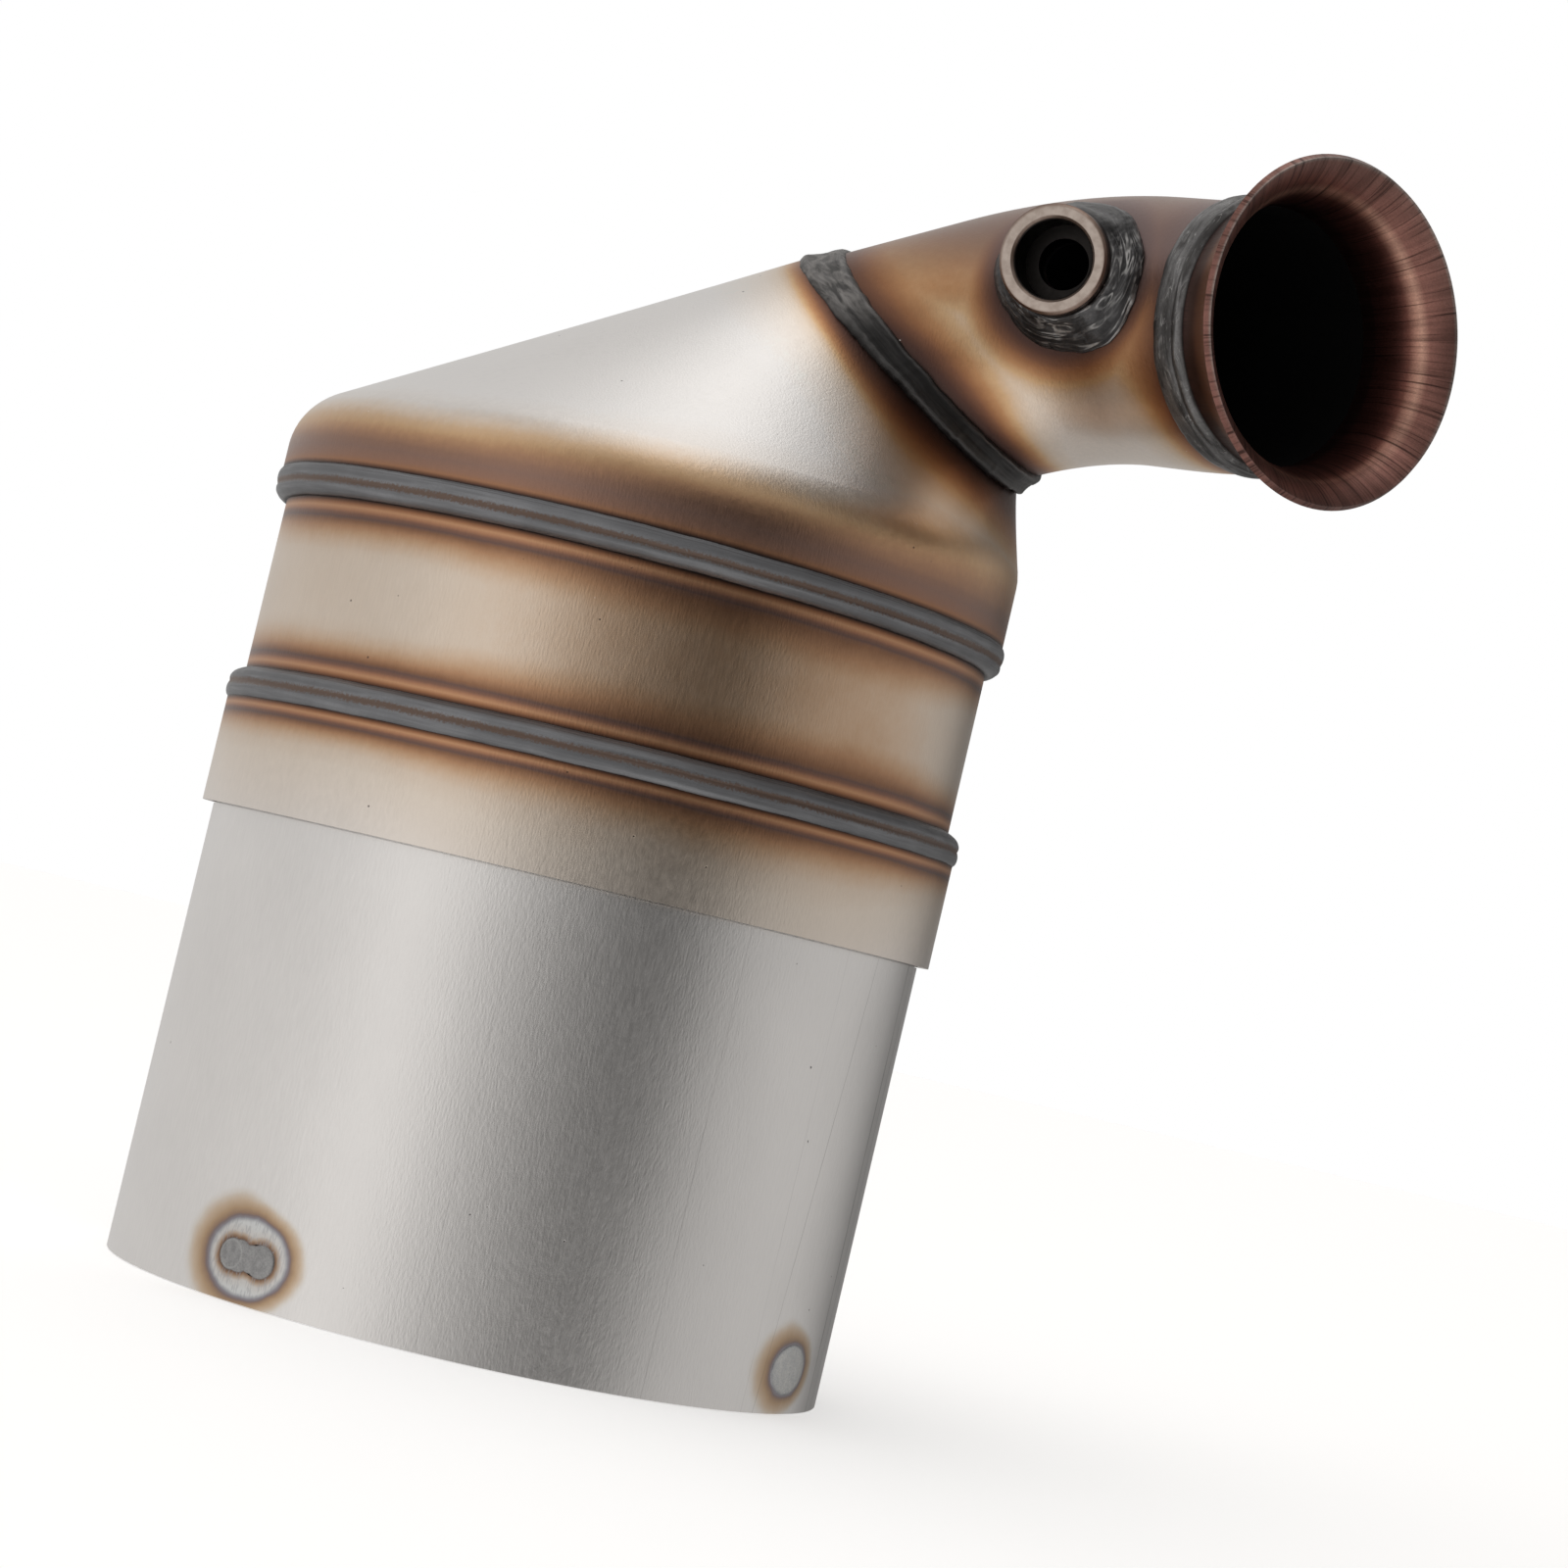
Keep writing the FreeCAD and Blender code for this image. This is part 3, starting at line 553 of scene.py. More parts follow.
def can_heat(t):
    """Distance to the nearer ring weld above the sleeve's edge, and cold below it."""
    can = about(t, CAN_AXIS)
    place = can["Place"]
    z = can["Along"]
    x = t.split(place)[0]
    low = t.sum("SUBTRACT", z, BAND_LOW)
    high = t.sum("SUBTRACT", t.sum("MULTIPLY_ADD", x, -TILT, BAND_HIGH), z)
    between = t.sum("MULTIPLY", nearest(t, [low, high], 1.5), 0.80)
    # Painted shade: a least share of 0.36 deepens the band's browns where the can's shaded stripe falls.
    capped = wide_at_front(t, place, t.sum("SMOOTH_MIN", between, 9.6, 1.5), 0.36)
    above = t.range(z, SLEEVE_EDGE, SLEEVE_EDGE + 1.0)
    away = t.sum("MULTIPLY", t.sum("SUBTRACT", 1.0, above), COLD)
    return t.sum("ADD", t.sum("MULTIPLY", capped, above), away), place


dress("can_shell", steel("can_steel", can_heat, RING_HEAT, (2.2, 2.2, 0.25), 0.33, can_marks))
print("silver on the can")

# %% [markdown]
# The sleeve is a plain strip and takes the bands of one weld. The cone's skirt has bands of
# its own, and they reach up to twice as far on the side where the tube leaves. At its top
# the cone meets the soaked heat of the neck joint, which reached further down the side where
# the wall is short.

# %% Sleeve and cone
# Radius in millimetres of the circle that stands for the neck joint, and how far its bead
# reaches from there over the cone and over the tube.
NECK_RING, NECK_TOE_ON_CONE, NECK_TOE_ON_TUBE = 30.0, 4.4, 4.3
SKIRT_LINES_END = 7.0


def sleeve_heat(t):
    can = about(t, CAN_AXIS)
    down = t.sum("SUBTRACT", SLEEVE_TOE, can["Along"])
    return wide_at_front(t, can["Place"], down, 0.55), can["Place"]


def skirt_heat(t):
    can = about(t, CAN_AXIS)
    x = t.split(can["Place"])[0]
    up = t.sum("SUBTRACT", can["Along"], t.sum("MULTIPLY_ADD", x, -TILT, CONE_TOE))
    beyond = t.sum("MAXIMUM", t.sum("SUBTRACT", up, SKIRT_LINES_END), 0.0)
    lines = t.sum("MINIMUM", up, SKIRT_LINES_END)
    up = t.sum("MULTIPLY_ADD", beyond, t.range(x, 28.0, 64.0, 1.0, 0.5), lines)
    return wide_at_front(t, can["Place"], up, 0.80), can["Place"]


def neck_soak(t, place, colour, roughness):
    """The neck joint's heat over the skirt's: the darker of the two shows."""
    neck = about(t, NECK_AXIS)
    down = t.sum("SUBTRACT", joint_gap(t, neck, NECK_RING), NECK_TOE_ON_CONE)
    x = t.split(place)[0]
    short_side = t.range(x, 14.0, 50.0, 1.45, 0.43)
    start = t.sum("MULTIPLY", t.sum("SUBTRACT", 1.0, short_side, clamp=True), 2.4)
    down = t.sum("MULTIPLY_ADD", down, short_side, start)
    soaked, _ = heated(t, SOAKED_HEAT, down, place)
    return t.mix(1.0, colour, soaked, "DARKEN"), roughness


dress("overlap_sleeve", steel("sleeve_steel", sleeve_heat, RING_HEAT, (0.9, 0.9, 0.5), 0.35))
cone_steel = steel("cone_steel", skirt_heat, SKIRT_HEAT, (0.7, 0.7, 0.5), 0.34, neck_soak, 0.88)
dress("cone", cone_steel)
print("bands on the sleeve and the cone")

# %% [markdown]
# The outlet tube sits between three welds, and its whole length has been hot. Its distance
# to heat is the least of three: to the neck joint, to the foot of the boss and to the mouth.
# Heat rose, so the top of the tube counts as nearer. The inside is painted near black as
# shade: a wall that faces the middle of the tube goes black. The lower part of the tube is
# painted paler as a highlight. The tube bends, so the middle is looked for on each of its
# three runs.

# %% Tube
TUBE_RUNS = [
    ((49.8, -3.0, 223.0), (82.19, -10.18, 239.61)),
    ((82.19, -10.18, 239.61), (110.03, -35.60, 239.48)),
    ((110.03, -35.60, 239.48), (126.5, -59.8, 241.2)),
]
# Near black painted as the shade inside the tube, and the purple of the tube's top.
PAINTED_SHADE_BLACK, TOP_PURPLE = (0.005, 0.005, 0.005), (0.205, 0.148, 0.142)
# In millimetres: the edge of the boss bead and how far it leans, the depth below the boss at
# which the far wall of the tube begins, and the edge of the mouth bead.
BOSS_TOE, BOSS_TOE_LEAN, BOSS_FAR_WALL, MOUTH_TOE = 15.2, 2.2, -14.0, -5.4
# How heat from the neck joint falls off by height: a slope, and a head start plus one.
NECK_SHAPE = [
    (0.07, (1.4, 1.0, 0.0)), (0.32, (1.0, 0.8, 0.0)), (0.5, (0.75, 1.4, 0.0)),
    (0.71, (0.55, 3.3, 0.0)), (0.93, (0.45, 4.2, 0.0)),
]


def away_from_run(t, place, start, end):
    """The way from the line between two points to a place, and its length in millimetres."""
    direction = Vector(end) - Vector(start)
    offset = t.vec("SUBTRACT", place, start)
    dot = t.vec("DOT_PRODUCT", offset, tuple(direction))
    share = t.sum("DIVIDE", dot, direction.length_squared, clamp=True)
    away = t.vec("SUBTRACT", offset, t.scaled(tuple(direction), share))
    return away, t.vec("LENGTH", away)


def tube_heat(t):
    """Distance to the nearest of three welds, with a limit that grows downwards."""
    neck, mouth, boss = about(t, NECK_AXIS), about(t, MOUTH_AXIS), about(t, BOSS_AXIS)
    place = neck["Place"]
    z = t.split(place)[2]
    from_neck = t.sum("SUBTRACT", joint_gap(t, neck, NECK_RING), NECK_TOE_ON_TUBE)
    shape = t.ramp(t.range(z, 208.0, 236.0, smooth=False), NECK_SHAPE)
    shape = t.add("ShaderNodeSeparateColor", {0: shape}).node.outputs
    from_neck = t.sum("SUBTRACT", t.sum("MULTIPLY_ADD", from_neck, shape[0], shape[1]), 1.0)
    behind = t.sum("MAXIMUM", t.sum("SUBTRACT", BOSS_FAR_WALL, boss["Along"]), 0.0)
    lean = t.vec("DOT_PRODUCT", boss["Direction"], (0.55, -0.22, -0.8))
    toe = t.sum("MULTIPLY_ADD", lean, BOSS_TOE_LEAN, BOSS_TOE)
    from_boss = t.sum("ADD", t.sum("SUBTRACT", boss["Radius"], toe), behind)
    from_mouth = t.sum("SUBTRACT", MOUTH_TOE, mouth["Along"])
    slope, start = t.range(z, 213.0, 229.0, 0.85, 0.36), t.range(z, 236.0, 250.0, 3.7, 2.4)
    from_mouth = t.sum("MULTIPLY_ADD", from_mouth, slope, start)
    least = nearest(t, [from_neck, from_boss, from_mouth], 1.5)
    limit = t.range(z, 218.0, 236.5, 16.5, 6.9)
    return t.sum("SMOOTH_MIN", least, limit, 1.0), place


def top_purple_and_painted_light(t, place, colour, roughness):
    """Purple along the top of the tube, a paler lower part as a painted highlight, and painted shade in
    near black inside it.
    """
    z = t.split(place)[2]
    colour = t.mix(t.range(z, 235.0, 254.0, 0.0, 0.78), colour, TOP_PURPLE)
    # Painted highlight: below 215 mm the tube is a quarter paler, fading out by 230 mm.
    colour = t.toned(colour, t.range(z, 215.0, 230.0, 1.25, 1.0))
    away, least = away_from_run(t, place, *TUBE_RUNS[0])
    for run in TUBE_RUNS[1:]:
        other, far = away_from_run(t, place, *run)
        away = t.mix(t.sum("LESS_THAN", far, least), away, other)
        least = t.sum("MINIMUM", least, far)
    # Painted shade: walls that face the middle of the tube go near black.
    normal = t.add("ShaderNodeNewGeometry", out="Normal")
    facing = t.vec("DOT_PRODUCT", normal, t.vec("NORMALIZE", away))
    inside_shade = t.range(facing, -0.3, -0.1, 1.0, 0.0)
    colour = t.mix(inside_shade, colour, PAINTED_SHADE_BLACK)
    return colour, t.sum("MAXIMUM", roughness, t.sum("MULTIPLY", inside_shade, 0.85))


tube_steel = steel("tube_steel", tube_heat, SOAKED_HEAT, (0.9, 0.9, 0.9), 0.34, top_purple_and_painted_light, 0.72)
dress("elbow_tube", tube_steel)
print("soaked colours on the tube")

# %% [markdown]
# The flare was spun open, and its inside face shows it: fine dark streaks that run from the
# throat to the lip like the gills of a mushroom, over a copper brown that is darkest at the
# throat and carries a painted highlight in a band part way out. The streaks need a pattern
# that changes quickly round the axis and hardly at all outwards, so the noise reads the
# direction round the axis instead of the place. The painted highlight is left off at the
# bottom of the flare, which stays a duller copper. Its back is plain and dark, with only the
# lip lighter.

# %% Flared flange
# Copper by distance out from the throat in millimetres: darkest at the throat, a painted highlight
# between about 12 and 13 mm, then brown out to the lip.
THROAT_TO_LIP = [
    (0.0, (0.080, 0.030, 0.026)),
    (3.0, (0.120, 0.045, 0.037)),
    (5.0, (0.125, 0.047, 0.038)),
    (9.0, (0.150, 0.057, 0.046)),
    (10.8, (0.205, 0.083, 0.064)),
    (12.2, (0.42, 0.220, 0.165)),
    (13.1, (0.52, 0.295, 0.222)),
    (14.5, (0.26, 0.120, 0.096)),
    (16.8, (0.205, 0.096, 0.078)),
    (18.5, (0.20, 0.104, 0.086)),
    (19.4, (0.25, 0.195, 0.175)),
]
BACK_OF_FLARE = [
    (0.0, (0.030, 0.020, 0.018)), (0.35, (0.070, 0.034, 0.025)), (0.65, (0.26, 0.116, 0.066)),
    (0.88, (0.37, 0.175, 0.105)), (1.0, (0.23, 0.165, 0.140)),
]
UNHIGHLIGHTED_COPPER = (0.21, 0.100, 0.082)
flange_steel, t = new_material("flange_steel")
mouth = about(t, MOUTH_AXIS)
last = THROAT_TO_LIP[-1][0]
below = t.sum("MULTIPLY", t.split(mouth["Direction"])[2], 1.1)
outwards = t.sum("ADD", mouth["Along"], t.sum("SUBTRACT", below, 1.0))
outwards = t.sum("DIVIDE", outwards, last, clamp=True)
outwards = t.sum("MAXIMUM", outwards, t.range(mouth["Along"], 16.0, 19.0))
copper = t.ramp(outwards, [(along / last, colour) for along, colour in THROAT_TO_LIP])
# Painted highlight left off at the bottom of the flare, where the copper stays duller.
highlight_left_off = t.sum("MULTIPLY", t.range(below, -0.95, -0.15, 0.85, 0.0), t.range(outwards, 0.60, 0.66))
copper = t.mix(highlight_left_off, copper, UNHIGHLIGHTED_COPPER)
bent = t.scaled(mouth["Place"], 0.035)
fine_gills = t.noise(t.vec("ADD", t.scaled(mouth["Direction"], 52.0), bent), 1.0, 3.0, 0.7)
wide_gills = t.noise(t.vec("ADD", t.scaled(mouth["Direction"], 15.0), bent), 1.0, 2.0, 0.5)
lines = t.range(fine_gills, 0.32, 0.50, 0.30, 1.0)
tone = t.sum("MULTIPLY", lines, t.range(wide_gills, 0.34, 0.62, 0.80, 1.12))
freckle = t.noise(mouth["Place"], 3.0, 2.0, 0.6)
tone = t.sum("MULTIPLY", tone, t.range(freckle, 0.3, 0.7, 0.86, 1.14, smooth=False))
tone = t.sum("MAXIMUM", tone, t.range(mouth["Along"], 18.6, 19.2, 0.0, 0.92))
inside = t.toned(copper, tone)
normal = t.add("ShaderNodeNewGeometry", out="Normal")
facing = t.vec("DOT_PRODUCT", normal, MOUTH_AXIS[1])
back = t.ramp(t.range(mouth["Along"], 3.0, 13.0, smooth=False), BACK_OF_FLARE)
colour = t.mix(t.range(facing, -0.12, 0.12), back, inside)
# Painted shade: the throat where it goes into the tube is near black.
colour = t.mix(t.range(mouth["Along"], -2.0, 0.6, 1.0, 0.0), colour, PAINTED_SHADE_BLACK)
rough = t.range(fine_gills, 0.3, 0.6, 0.44, 0.34, smooth=False)
surfaced(flange_steel, t, colour, rough, fine_gills, (0.30, 0.08), 0.85)
dress("flared_flange", flange_steel)
print("streaked copper in the flare")

# %% [markdown]
# The boss is turned on a lathe. Its face keeps a pale warm finish with the faintest rings and
# a darker line round both edges, its side went brown with the weld, and its bore is painted
# near black as shade.

# %% Boss
boss_steel, t = new_material("boss_steel")
boss = about(t, BOSS_AXIS)
rings = t.add(
    "ShaderNodeTexWave",
    {"Vector": t.joined(boss["Radius"]), "Scale": 2.2, "Distortion": 0.6},
    wave_profile="SIN",
)
grime = t.noise(boss["Place"], 0.6, 3.0, 0.6)
face = t.mix(t.range(grime, 0.35, 0.7, 0.0, 0.5), (0.46, 0.39, 0.345), (0.33, 0.26, 0.22))
outer, inner = t.range(boss["Radius"], 10.6, 11.1), t.range(boss["Radius"], 8.75, 9.15, 1.0, 0.0)
rim = t.sum("ADD", outer, inner, clamp=True)
face = t.mix(t.sum("MULTIPLY", rim, 0.65), face, (0.20, 0.13, 0.10))
side = t.mix(t.range(boss["Along"], 7.5, 11.2), (0.05, 0.038, 0.034), (0.22, 0.15, 0.12))
colour = t.mix(t.range(boss["Radius"], 11.15, 11.4), face, side)
# Painted shade: the bore is near black.
colour = t.mix(t.range(boss["Radius"], 8.3, 8.7, 1.0, 0.0), colour, (0.020, 0.018, 0.017))
surfaced(boss_steel, t, colour, t.range(grime, 0.3, 0.7, 0.34, 0.46), rings, (0.08, 0.05), 1.0)
dress("sensor_boss", boss_steel)
print("turned steel on the boss")

# %% [markdown]
# A weld bead is metal that froze while it was being pushed along. It lies between two edges,
# one on each of the sheets it joins, and its crown shows how it was laid. The two ring beads
# were run by machine and have a smooth hump on each side of a groove. The hand-laid ones on
# the tube are flatter and rougher. Each bead is built as a closed skin: a section drawn once,
# set at hundreds of stations round the joint with its two edges on the real walls. Every
# point also keeps its place along and across the bead, so that ripples and colours can
# follow the bead round.


# %% A skin for a bead
def smooth_line(points, steps):
    """Points on a smooth open line through the given ones."""
    padded = [points[0], *points, points[-1]]
    line = []
    for k in range(len(points) - 1):
        a, b, c, d = (Vector(p) for p in padded[k : k + 4])
        for s in range(steps):
            u = s / steps
            second, third = 2 * a - 5 * b + 4 * c - d, 3 * b - 3 * c + d - a
            line.append(0.5 * (2 * b + (c - a) * u + second * u**2 + third * u**3))
    line.append(Vector(points[-1]))
    return line


def drifting(angle, radius, wave, seed):
    """Smooth noise from -1 to 1 that closes on itself round a circle."""
    r = radius / wave
    return noise.noise(Vector((r * math.cos(angle), r * math.sin(angle), seed)))


def turn_outwards(mesh):
    """Makes all faces of a mesh look outwards."""
    work = bmesh.new()
    work.from_mesh(mesh)
    bmesh.ops.recalc_face_normals(work, faces=work.faces)
    work.to_mesh(mesh)
    work.free()


def bead_skin(name, stations, shares, width, length):
    """Closed mesh through rings of section points. Shares run from 0 at one edge to 1 at
    the other, and above 1 for the points buried under the bead."""
    count, turns = len(shares), len(stations)
    points = [p * MM for ring in stations for p in ring]
    faces = []
    for i in range(turns):
        here, there = i * count, (i + 1) % turns * count
        for k in range(count):
            m = (k + 1) % count
            faces.append((here + k, there + k, there + m, here + m))
    mesh = bpy.data.meshes.new(name)
    mesh.from_pydata(points, [], faces)
    turn_outwards(mesh)
    radius = length / (2 * math.pi)
    angles = [2 * math.pi * i / turns for i in range(turns)]
    on_bead = [min(share, 1.0) for share in shares]
    crowns = [max(0.0, min(1.0, min(share, 1.0 - share) * 9.0)) for share in shares]
    circle = [(radius * math.cos(a), radius * math.sin(a)) for a in angles]
    places = [(x, y, share * width) for x, y in circle for share in on_bead]
    layer = mesh.attributes.new("weld_place", "FLOAT_VECTOR", "POINT")
    layer.data.foreach_set("vector", [v for place in places for v in place])
    for title, values in (("weld_share", on_bead), ("weld_crown", crowns)):
        layer = mesh.attributes.new(title, "FLOAT", "POINT")
        layer.data.foreach_set("value", values * turns)
    mesh.shade_smooth()
    return linked(name, mesh)


def across_axis(axis):
    """Two directions square to an axis, the first as near upwards as can be."""
    axis = Vector(axis)
    up = (Vector((0, 0, 1)) - axis * axis.z).normalized()
    return up, up.cross(axis)


print("bead skins ready")

# %% [markdown]
# The ring beads are turned shapes, so their sections are given as a height and a radius. The
# upper one lies on the slightly askew edge of the cone, and its frame is tilted to match.

# %% Ring beads
SLEEVE_BEAD = [
    (118.7, 79.7), (118.95, 80.05), (119.4, 80.40), (120.2, 80.62), (121.1, 80.60), (121.75, 80.40),
    (122.1, 80.26), (122.5, 80.38), (123.2, 80.38), (124.0, 80.02), (124.6, 79.45), (125.1, 78.65),
    (125.45, 77.85), (125.65, 77.25),
]
CONE_BEAD = [
    (-3.05, 77.25), (-2.95, 77.9), (-2.6, 78.9), (-2.0, 79.75), (-1.3, 80.25), (-0.6, 80.36),
    (-0.15, 80.2), (0.3, 80.34), (1.2, 80.58), (2.2, 80.56), (2.95, 80.30), (3.35, 80.02), (3.6, 79.65),
]
SKIRT_BOTTOM = 164.4
CONE_FRAME = Matrix.Translation((0, 0, SKIRT_BOTTOM)) @ Matrix.Rotation(SKIRT_TILT, 4, "Y")
RING_RADIUS, RING_STATIONS = 80, 700


def ring_bead(name, section, seed, frame_of=Matrix()):
    """A bead turned about the can, with a slow drift up and down and in its thickness."""
    line = smooth_line(section, 2)
    low, high = section[0][0], section[-1][0]
    shares = [(z - low) / (high - low) for z, r in line]
    buried = [(high - 0.8, 76.9), (low + 0.8, 76.9 if section[0][1] < 78 else 78.6)]
    line += [Vector(p) for p in buried]
    shares += [2.0, 2.0]
    stations = []
    for i in range(RING_STATIONS):
        a = 2 * math.pi * i / RING_STATIONS
        slide = 0.13 * drifting(a, RING_RADIUS, 9.0, seed)
        slide += 0.05 * drifting(a, RING_RADIUS, 2.2, seed + 4)
        swell = 0.07 * drifting(a, RING_RADIUS, 6.0, seed + 8)
        ring = []
        for (z, r), share in zip(line, shares):
            crown = max(0.0, 1.0 - abs(2 * share - 1)) if share <= 1 else 0.0
            out = r + swell * crown
            ring.append(frame_of @ Vector((out * math.cos(a), out * math.sin(a), z + slide)))
        stations.append(ring)
    return bead_skin(name, stations, shares, high - low, 2 * math.pi * RING_RADIUS)


beads = {
    "sleeve_weld": ring_bead("sleeve_bead", SLEEVE_BEAD, 1.0),
    "cone_weld": ring_bead("cone_bead", CONE_BEAD, 21.0, CONE_FRAME),
}
print({node: len(thing.data.polygons) for node, thing in beads.items()})

# %% [markdown]
# The hand-laid beads have to meet curved walls. For each station, the nearest points of the
# two solids give the edges, and the section stands on the straight line between them.


# %% Beads between two walls
def wall_of(node):
    """A node's surface in millimetres, ready to be asked for its nearest point."""
    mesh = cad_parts[node].data
    points = [vertex.co / MM for vertex in mesh.vertices]
    return BVHTree.FromPolygons(points, [face.vertices[:] for face in mesh.polygons])


TUBE_WALL, CONE_WALL = wall_of("elbow_tube"), wall_of("cone")
FLANGE_WALL = wall_of("flared_flange")
FLAT_CROWN = [
    (0.0, -0.45), (0.02, 0.0), (0.08, 0.62), (0.16, 1.10), (0.26, 1.12), (0.38, 0.88), (0.5, 0.82),
    (0.62, 0.90), (0.74, 1.08), (0.84, 1.10), (0.92, 0.68), (0.98, 0.0), (1.0, -0.45),
]
RIDGED_CROWN = [
    (0.0, -0.40), (0.015, 0.0), (0.07, 0.48), (0.17, 0.88), (0.32, 1.05), (0.48, 1.00), (0.60, 0.72),
    (0.655, 0.52), (0.71, 0.82), (0.79, 1.24), (0.87, 1.12), (0.94, 0.55), (0.985, 0.0), (1.0, -0.40),
]


def bridged(first, second, outward, crown, steps, swell):
    """Section points from one edge to the other, crowned outwards, then back below."""
    line = smooth_line(crown, steps)
    ring = [first.lerp(second, share) + outward * (high * swell) for share, high in line]
    shares = [share for share, high in line] + [2.0, 2.0]
    for share in (0.8, 0.2):
        ring.append(first.lerp(second, share) - outward * 1.1)
    return ring, shares


# The neck joint is an ellipse: its long half and the direction of that.
NECK_LONG_HALF, NECK_LONGWAYS = 31.8, (0.8236, 0.1721, -0.5405)


def neck_bead(turns=520):
    """From the tube above the slanted joint down to the cone, wider on the near side."""
    centre, axis = Vector(NECK_AXIS[0]), Vector(NECK_AXIS[1])
    longways = Vector(NECK_LONGWAYS)
    sideways = axis.cross(longways)
    leg = (Vector(TUBE_RUNS[0][1]) - Vector(TUBE_RUNS[0][0])).normalized()
    stations = []
    for i in range(turns):
        a = 2 * math.pi * i / turns
        joint = centre + longways * (NECK_LONG_HALF * math.cos(a))
        joint += sideways * (TUBE_RADIUS * math.sin(a))
        out = (joint - centre).normalized()
        ragged = 0.32 * drifting(a, 30, 4.0, 2.0) + 0.12 * drifting(a, 30, 1.3, 5.0)
        other = 0.32 * drifting(a, 30, 4.0, 9.0) + 0.12 * drifting(a, 30, 1.3, 7.0)
        upper = TUBE_WALL.find_nearest(joint + leg * (4.3 + ragged) + out * 0.6)[0]
        spread = max(1.6, 3.9 - 1.3 * math.cos(a) + 2.0 * math.sin(a) + other)
        lower, _, _, far = CONE_WALL.ray_cast(joint - axis * spread + out * 12, -out, 40)
        if lower is None or far > 16:
            lower = CONE_WALL.find_nearest(joint - axis * spread + out * 1.5)[0]
        square = (upper - lower).cross(axis.cross(out)).normalized()
        if square.dot(out) < 0:
            square.negate()
        swell = 1.0 + 0.25 * drifting(a, 30, 7.0, 3.0)
        ring, shares = bridged(upper, lower, square, FLAT_CROWN, 2, swell)
        stations.append(ring)
    return bead_skin("neck_bead", stations, shares, width=8.4, length=190)


def mouth_bead(turns=480):
    """From the tube to the start of the flare, widest on top."""
    centre, axis = Vector(MOUTH_AXIS[0]), Vector(MOUTH_AXIS[1])
    up, side = across_axis(axis)
    stations = []
    for i in range(turns):
        a = 2 * math.pi * i / turns
        out = up * math.cos(a) + side * math.sin(a)
        ragged = 0.35 * drifting(a, 29, 5.0, 12.0) + 0.12 * drifting(a, 29, 1.4, 15.0)
        wide = 5.3 + 3.0 * max(0.0, math.cos(a)) ** 1.5 + ragged
        inner = TUBE_WALL.find_nearest(centre - axis * wide + out * TUBE_RADIUS)[0]
        outer = FLANGE_WALL.find_nearest(centre + axis * 3.7 + out * 29.2)[0]
        swell = 0.92 + 0.2 * drifting(a, 29, 8.0, 13.0)
        ring, shares = bridged(inner, outer, out, RIDGED_CROWN, 2, swell)
        stations.append(ring)
    return bead_skin("mouth_bead", stations, shares, width=9.6, length=180)


beads["neck_weld"] = neck_bead()
beads["flange_weld"] = mouth_bead()
print({node: len(thing.data.polygons) for node, thing in beads.items()})

# %% [markdown]
# Round the boss the welder filled the corner between an upright cylinder and the round tube,
# generously below and to the right and barely on the left. The edge on the boss is a height
# for each direction, and the edge on the tube is found by looking down on it.

# %% Bead round the boss
BOSS_RADIUS = 11.5
# Degrees round the boss, height of the edge on it, and distance to the edge on the tube.
BOSS_EDGES = [
    (0, 8.8, 17.8), (45, 7.8, 16.4), (90, 5.5, 14.8), (135, 4.2, 15.0), (180, 3.6, 16.2),
    (225, 5.0, 15.8), (270, 7.0, 17.6), (315, 8.6, 19.8), (360, 8.8, 17.8),
]
BOSS_CROWN = [
    (0.0, -0.30), (0.04, 0.10), (0.14, 0.42), (0.26, 0.40), (0.40, 0.55), (0.55, 0.78), (0.70, 0.80),
    (0.84, 0.62), (0.93, 0.34), (0.985, 0.0), (1.0, -0.35),
]


def between(table, angle, column):
    """A smooth value from a table of degrees round the boss."""
    angle %= 360
    for low, high in zip(table, table[1:]):
        if low[0] <= angle <= high[0]:
            u = (angle - low[0]) / (high[0] - low[0])
            u = u * u * (3 - 2 * u)
            return low[column] * (1 - u) + high[column] * u


def boss_bead(turns=420):
    """From the side of the boss down to the tube below it."""
    centre, axis = Vector(BOSS_AXIS[0]), Vector(BOSS_AXIS[1])
    up, side = across_axis(axis)
    stations = []
    for i in range(turns):
        a = 2 * math.pi * i / turns
        out = side * math.cos(a) + up * math.sin(a)
        ragged = 0.30 * drifting(a, 15, 3.0, 32.0) + 0.10 * drifting(a, 15, 1.0, 35.0)
        climb = between(BOSS_EDGES, math.degrees(a), 1) + 0.25 * drifting(a, 15, 3.5, 36.0)
        reach = between(BOSS_EDGES, math.degrees(a), 2) + ragged
        start = centre + out * reach + axis * 25
        foot = TUBE_WALL.ray_cast(start, -axis, 60)[0]
        foot = foot or TUBE_WALL.find_nearest(centre + out * reach)[0]
        head = centre + out * (BOSS_RADIUS - 0.1) + axis * climb
        slope = foot - head
        square = (out - slope * (out.dot(slope) / slope.length_squared)).normalized()
        swell = 1.0 + 0.3 * drifting(a, 15, 5.0, 33.0)
        ring, shares = bridged(head, foot, square, BOSS_CROWN, 3, swell)
        stations.append(ring)
    return bead_skin("boss_bead", stations, shares, width=10.0, length=95)


beads["boss_weld"] = boss_bead()
print("boss_bead", len(beads["boss_weld"].data.polygons), "faces")

# %% [markdown]
# Now the ripples. One geometry node tree serves every bead. It reads the place that each
# point keeps, and pushes the skin in and out by a noise that is stretched along the bead,
# which gives long ridges, and by a finer one, which gives the frozen froth between them. The
# push fades towards the edges so that they stay buried in the walls.


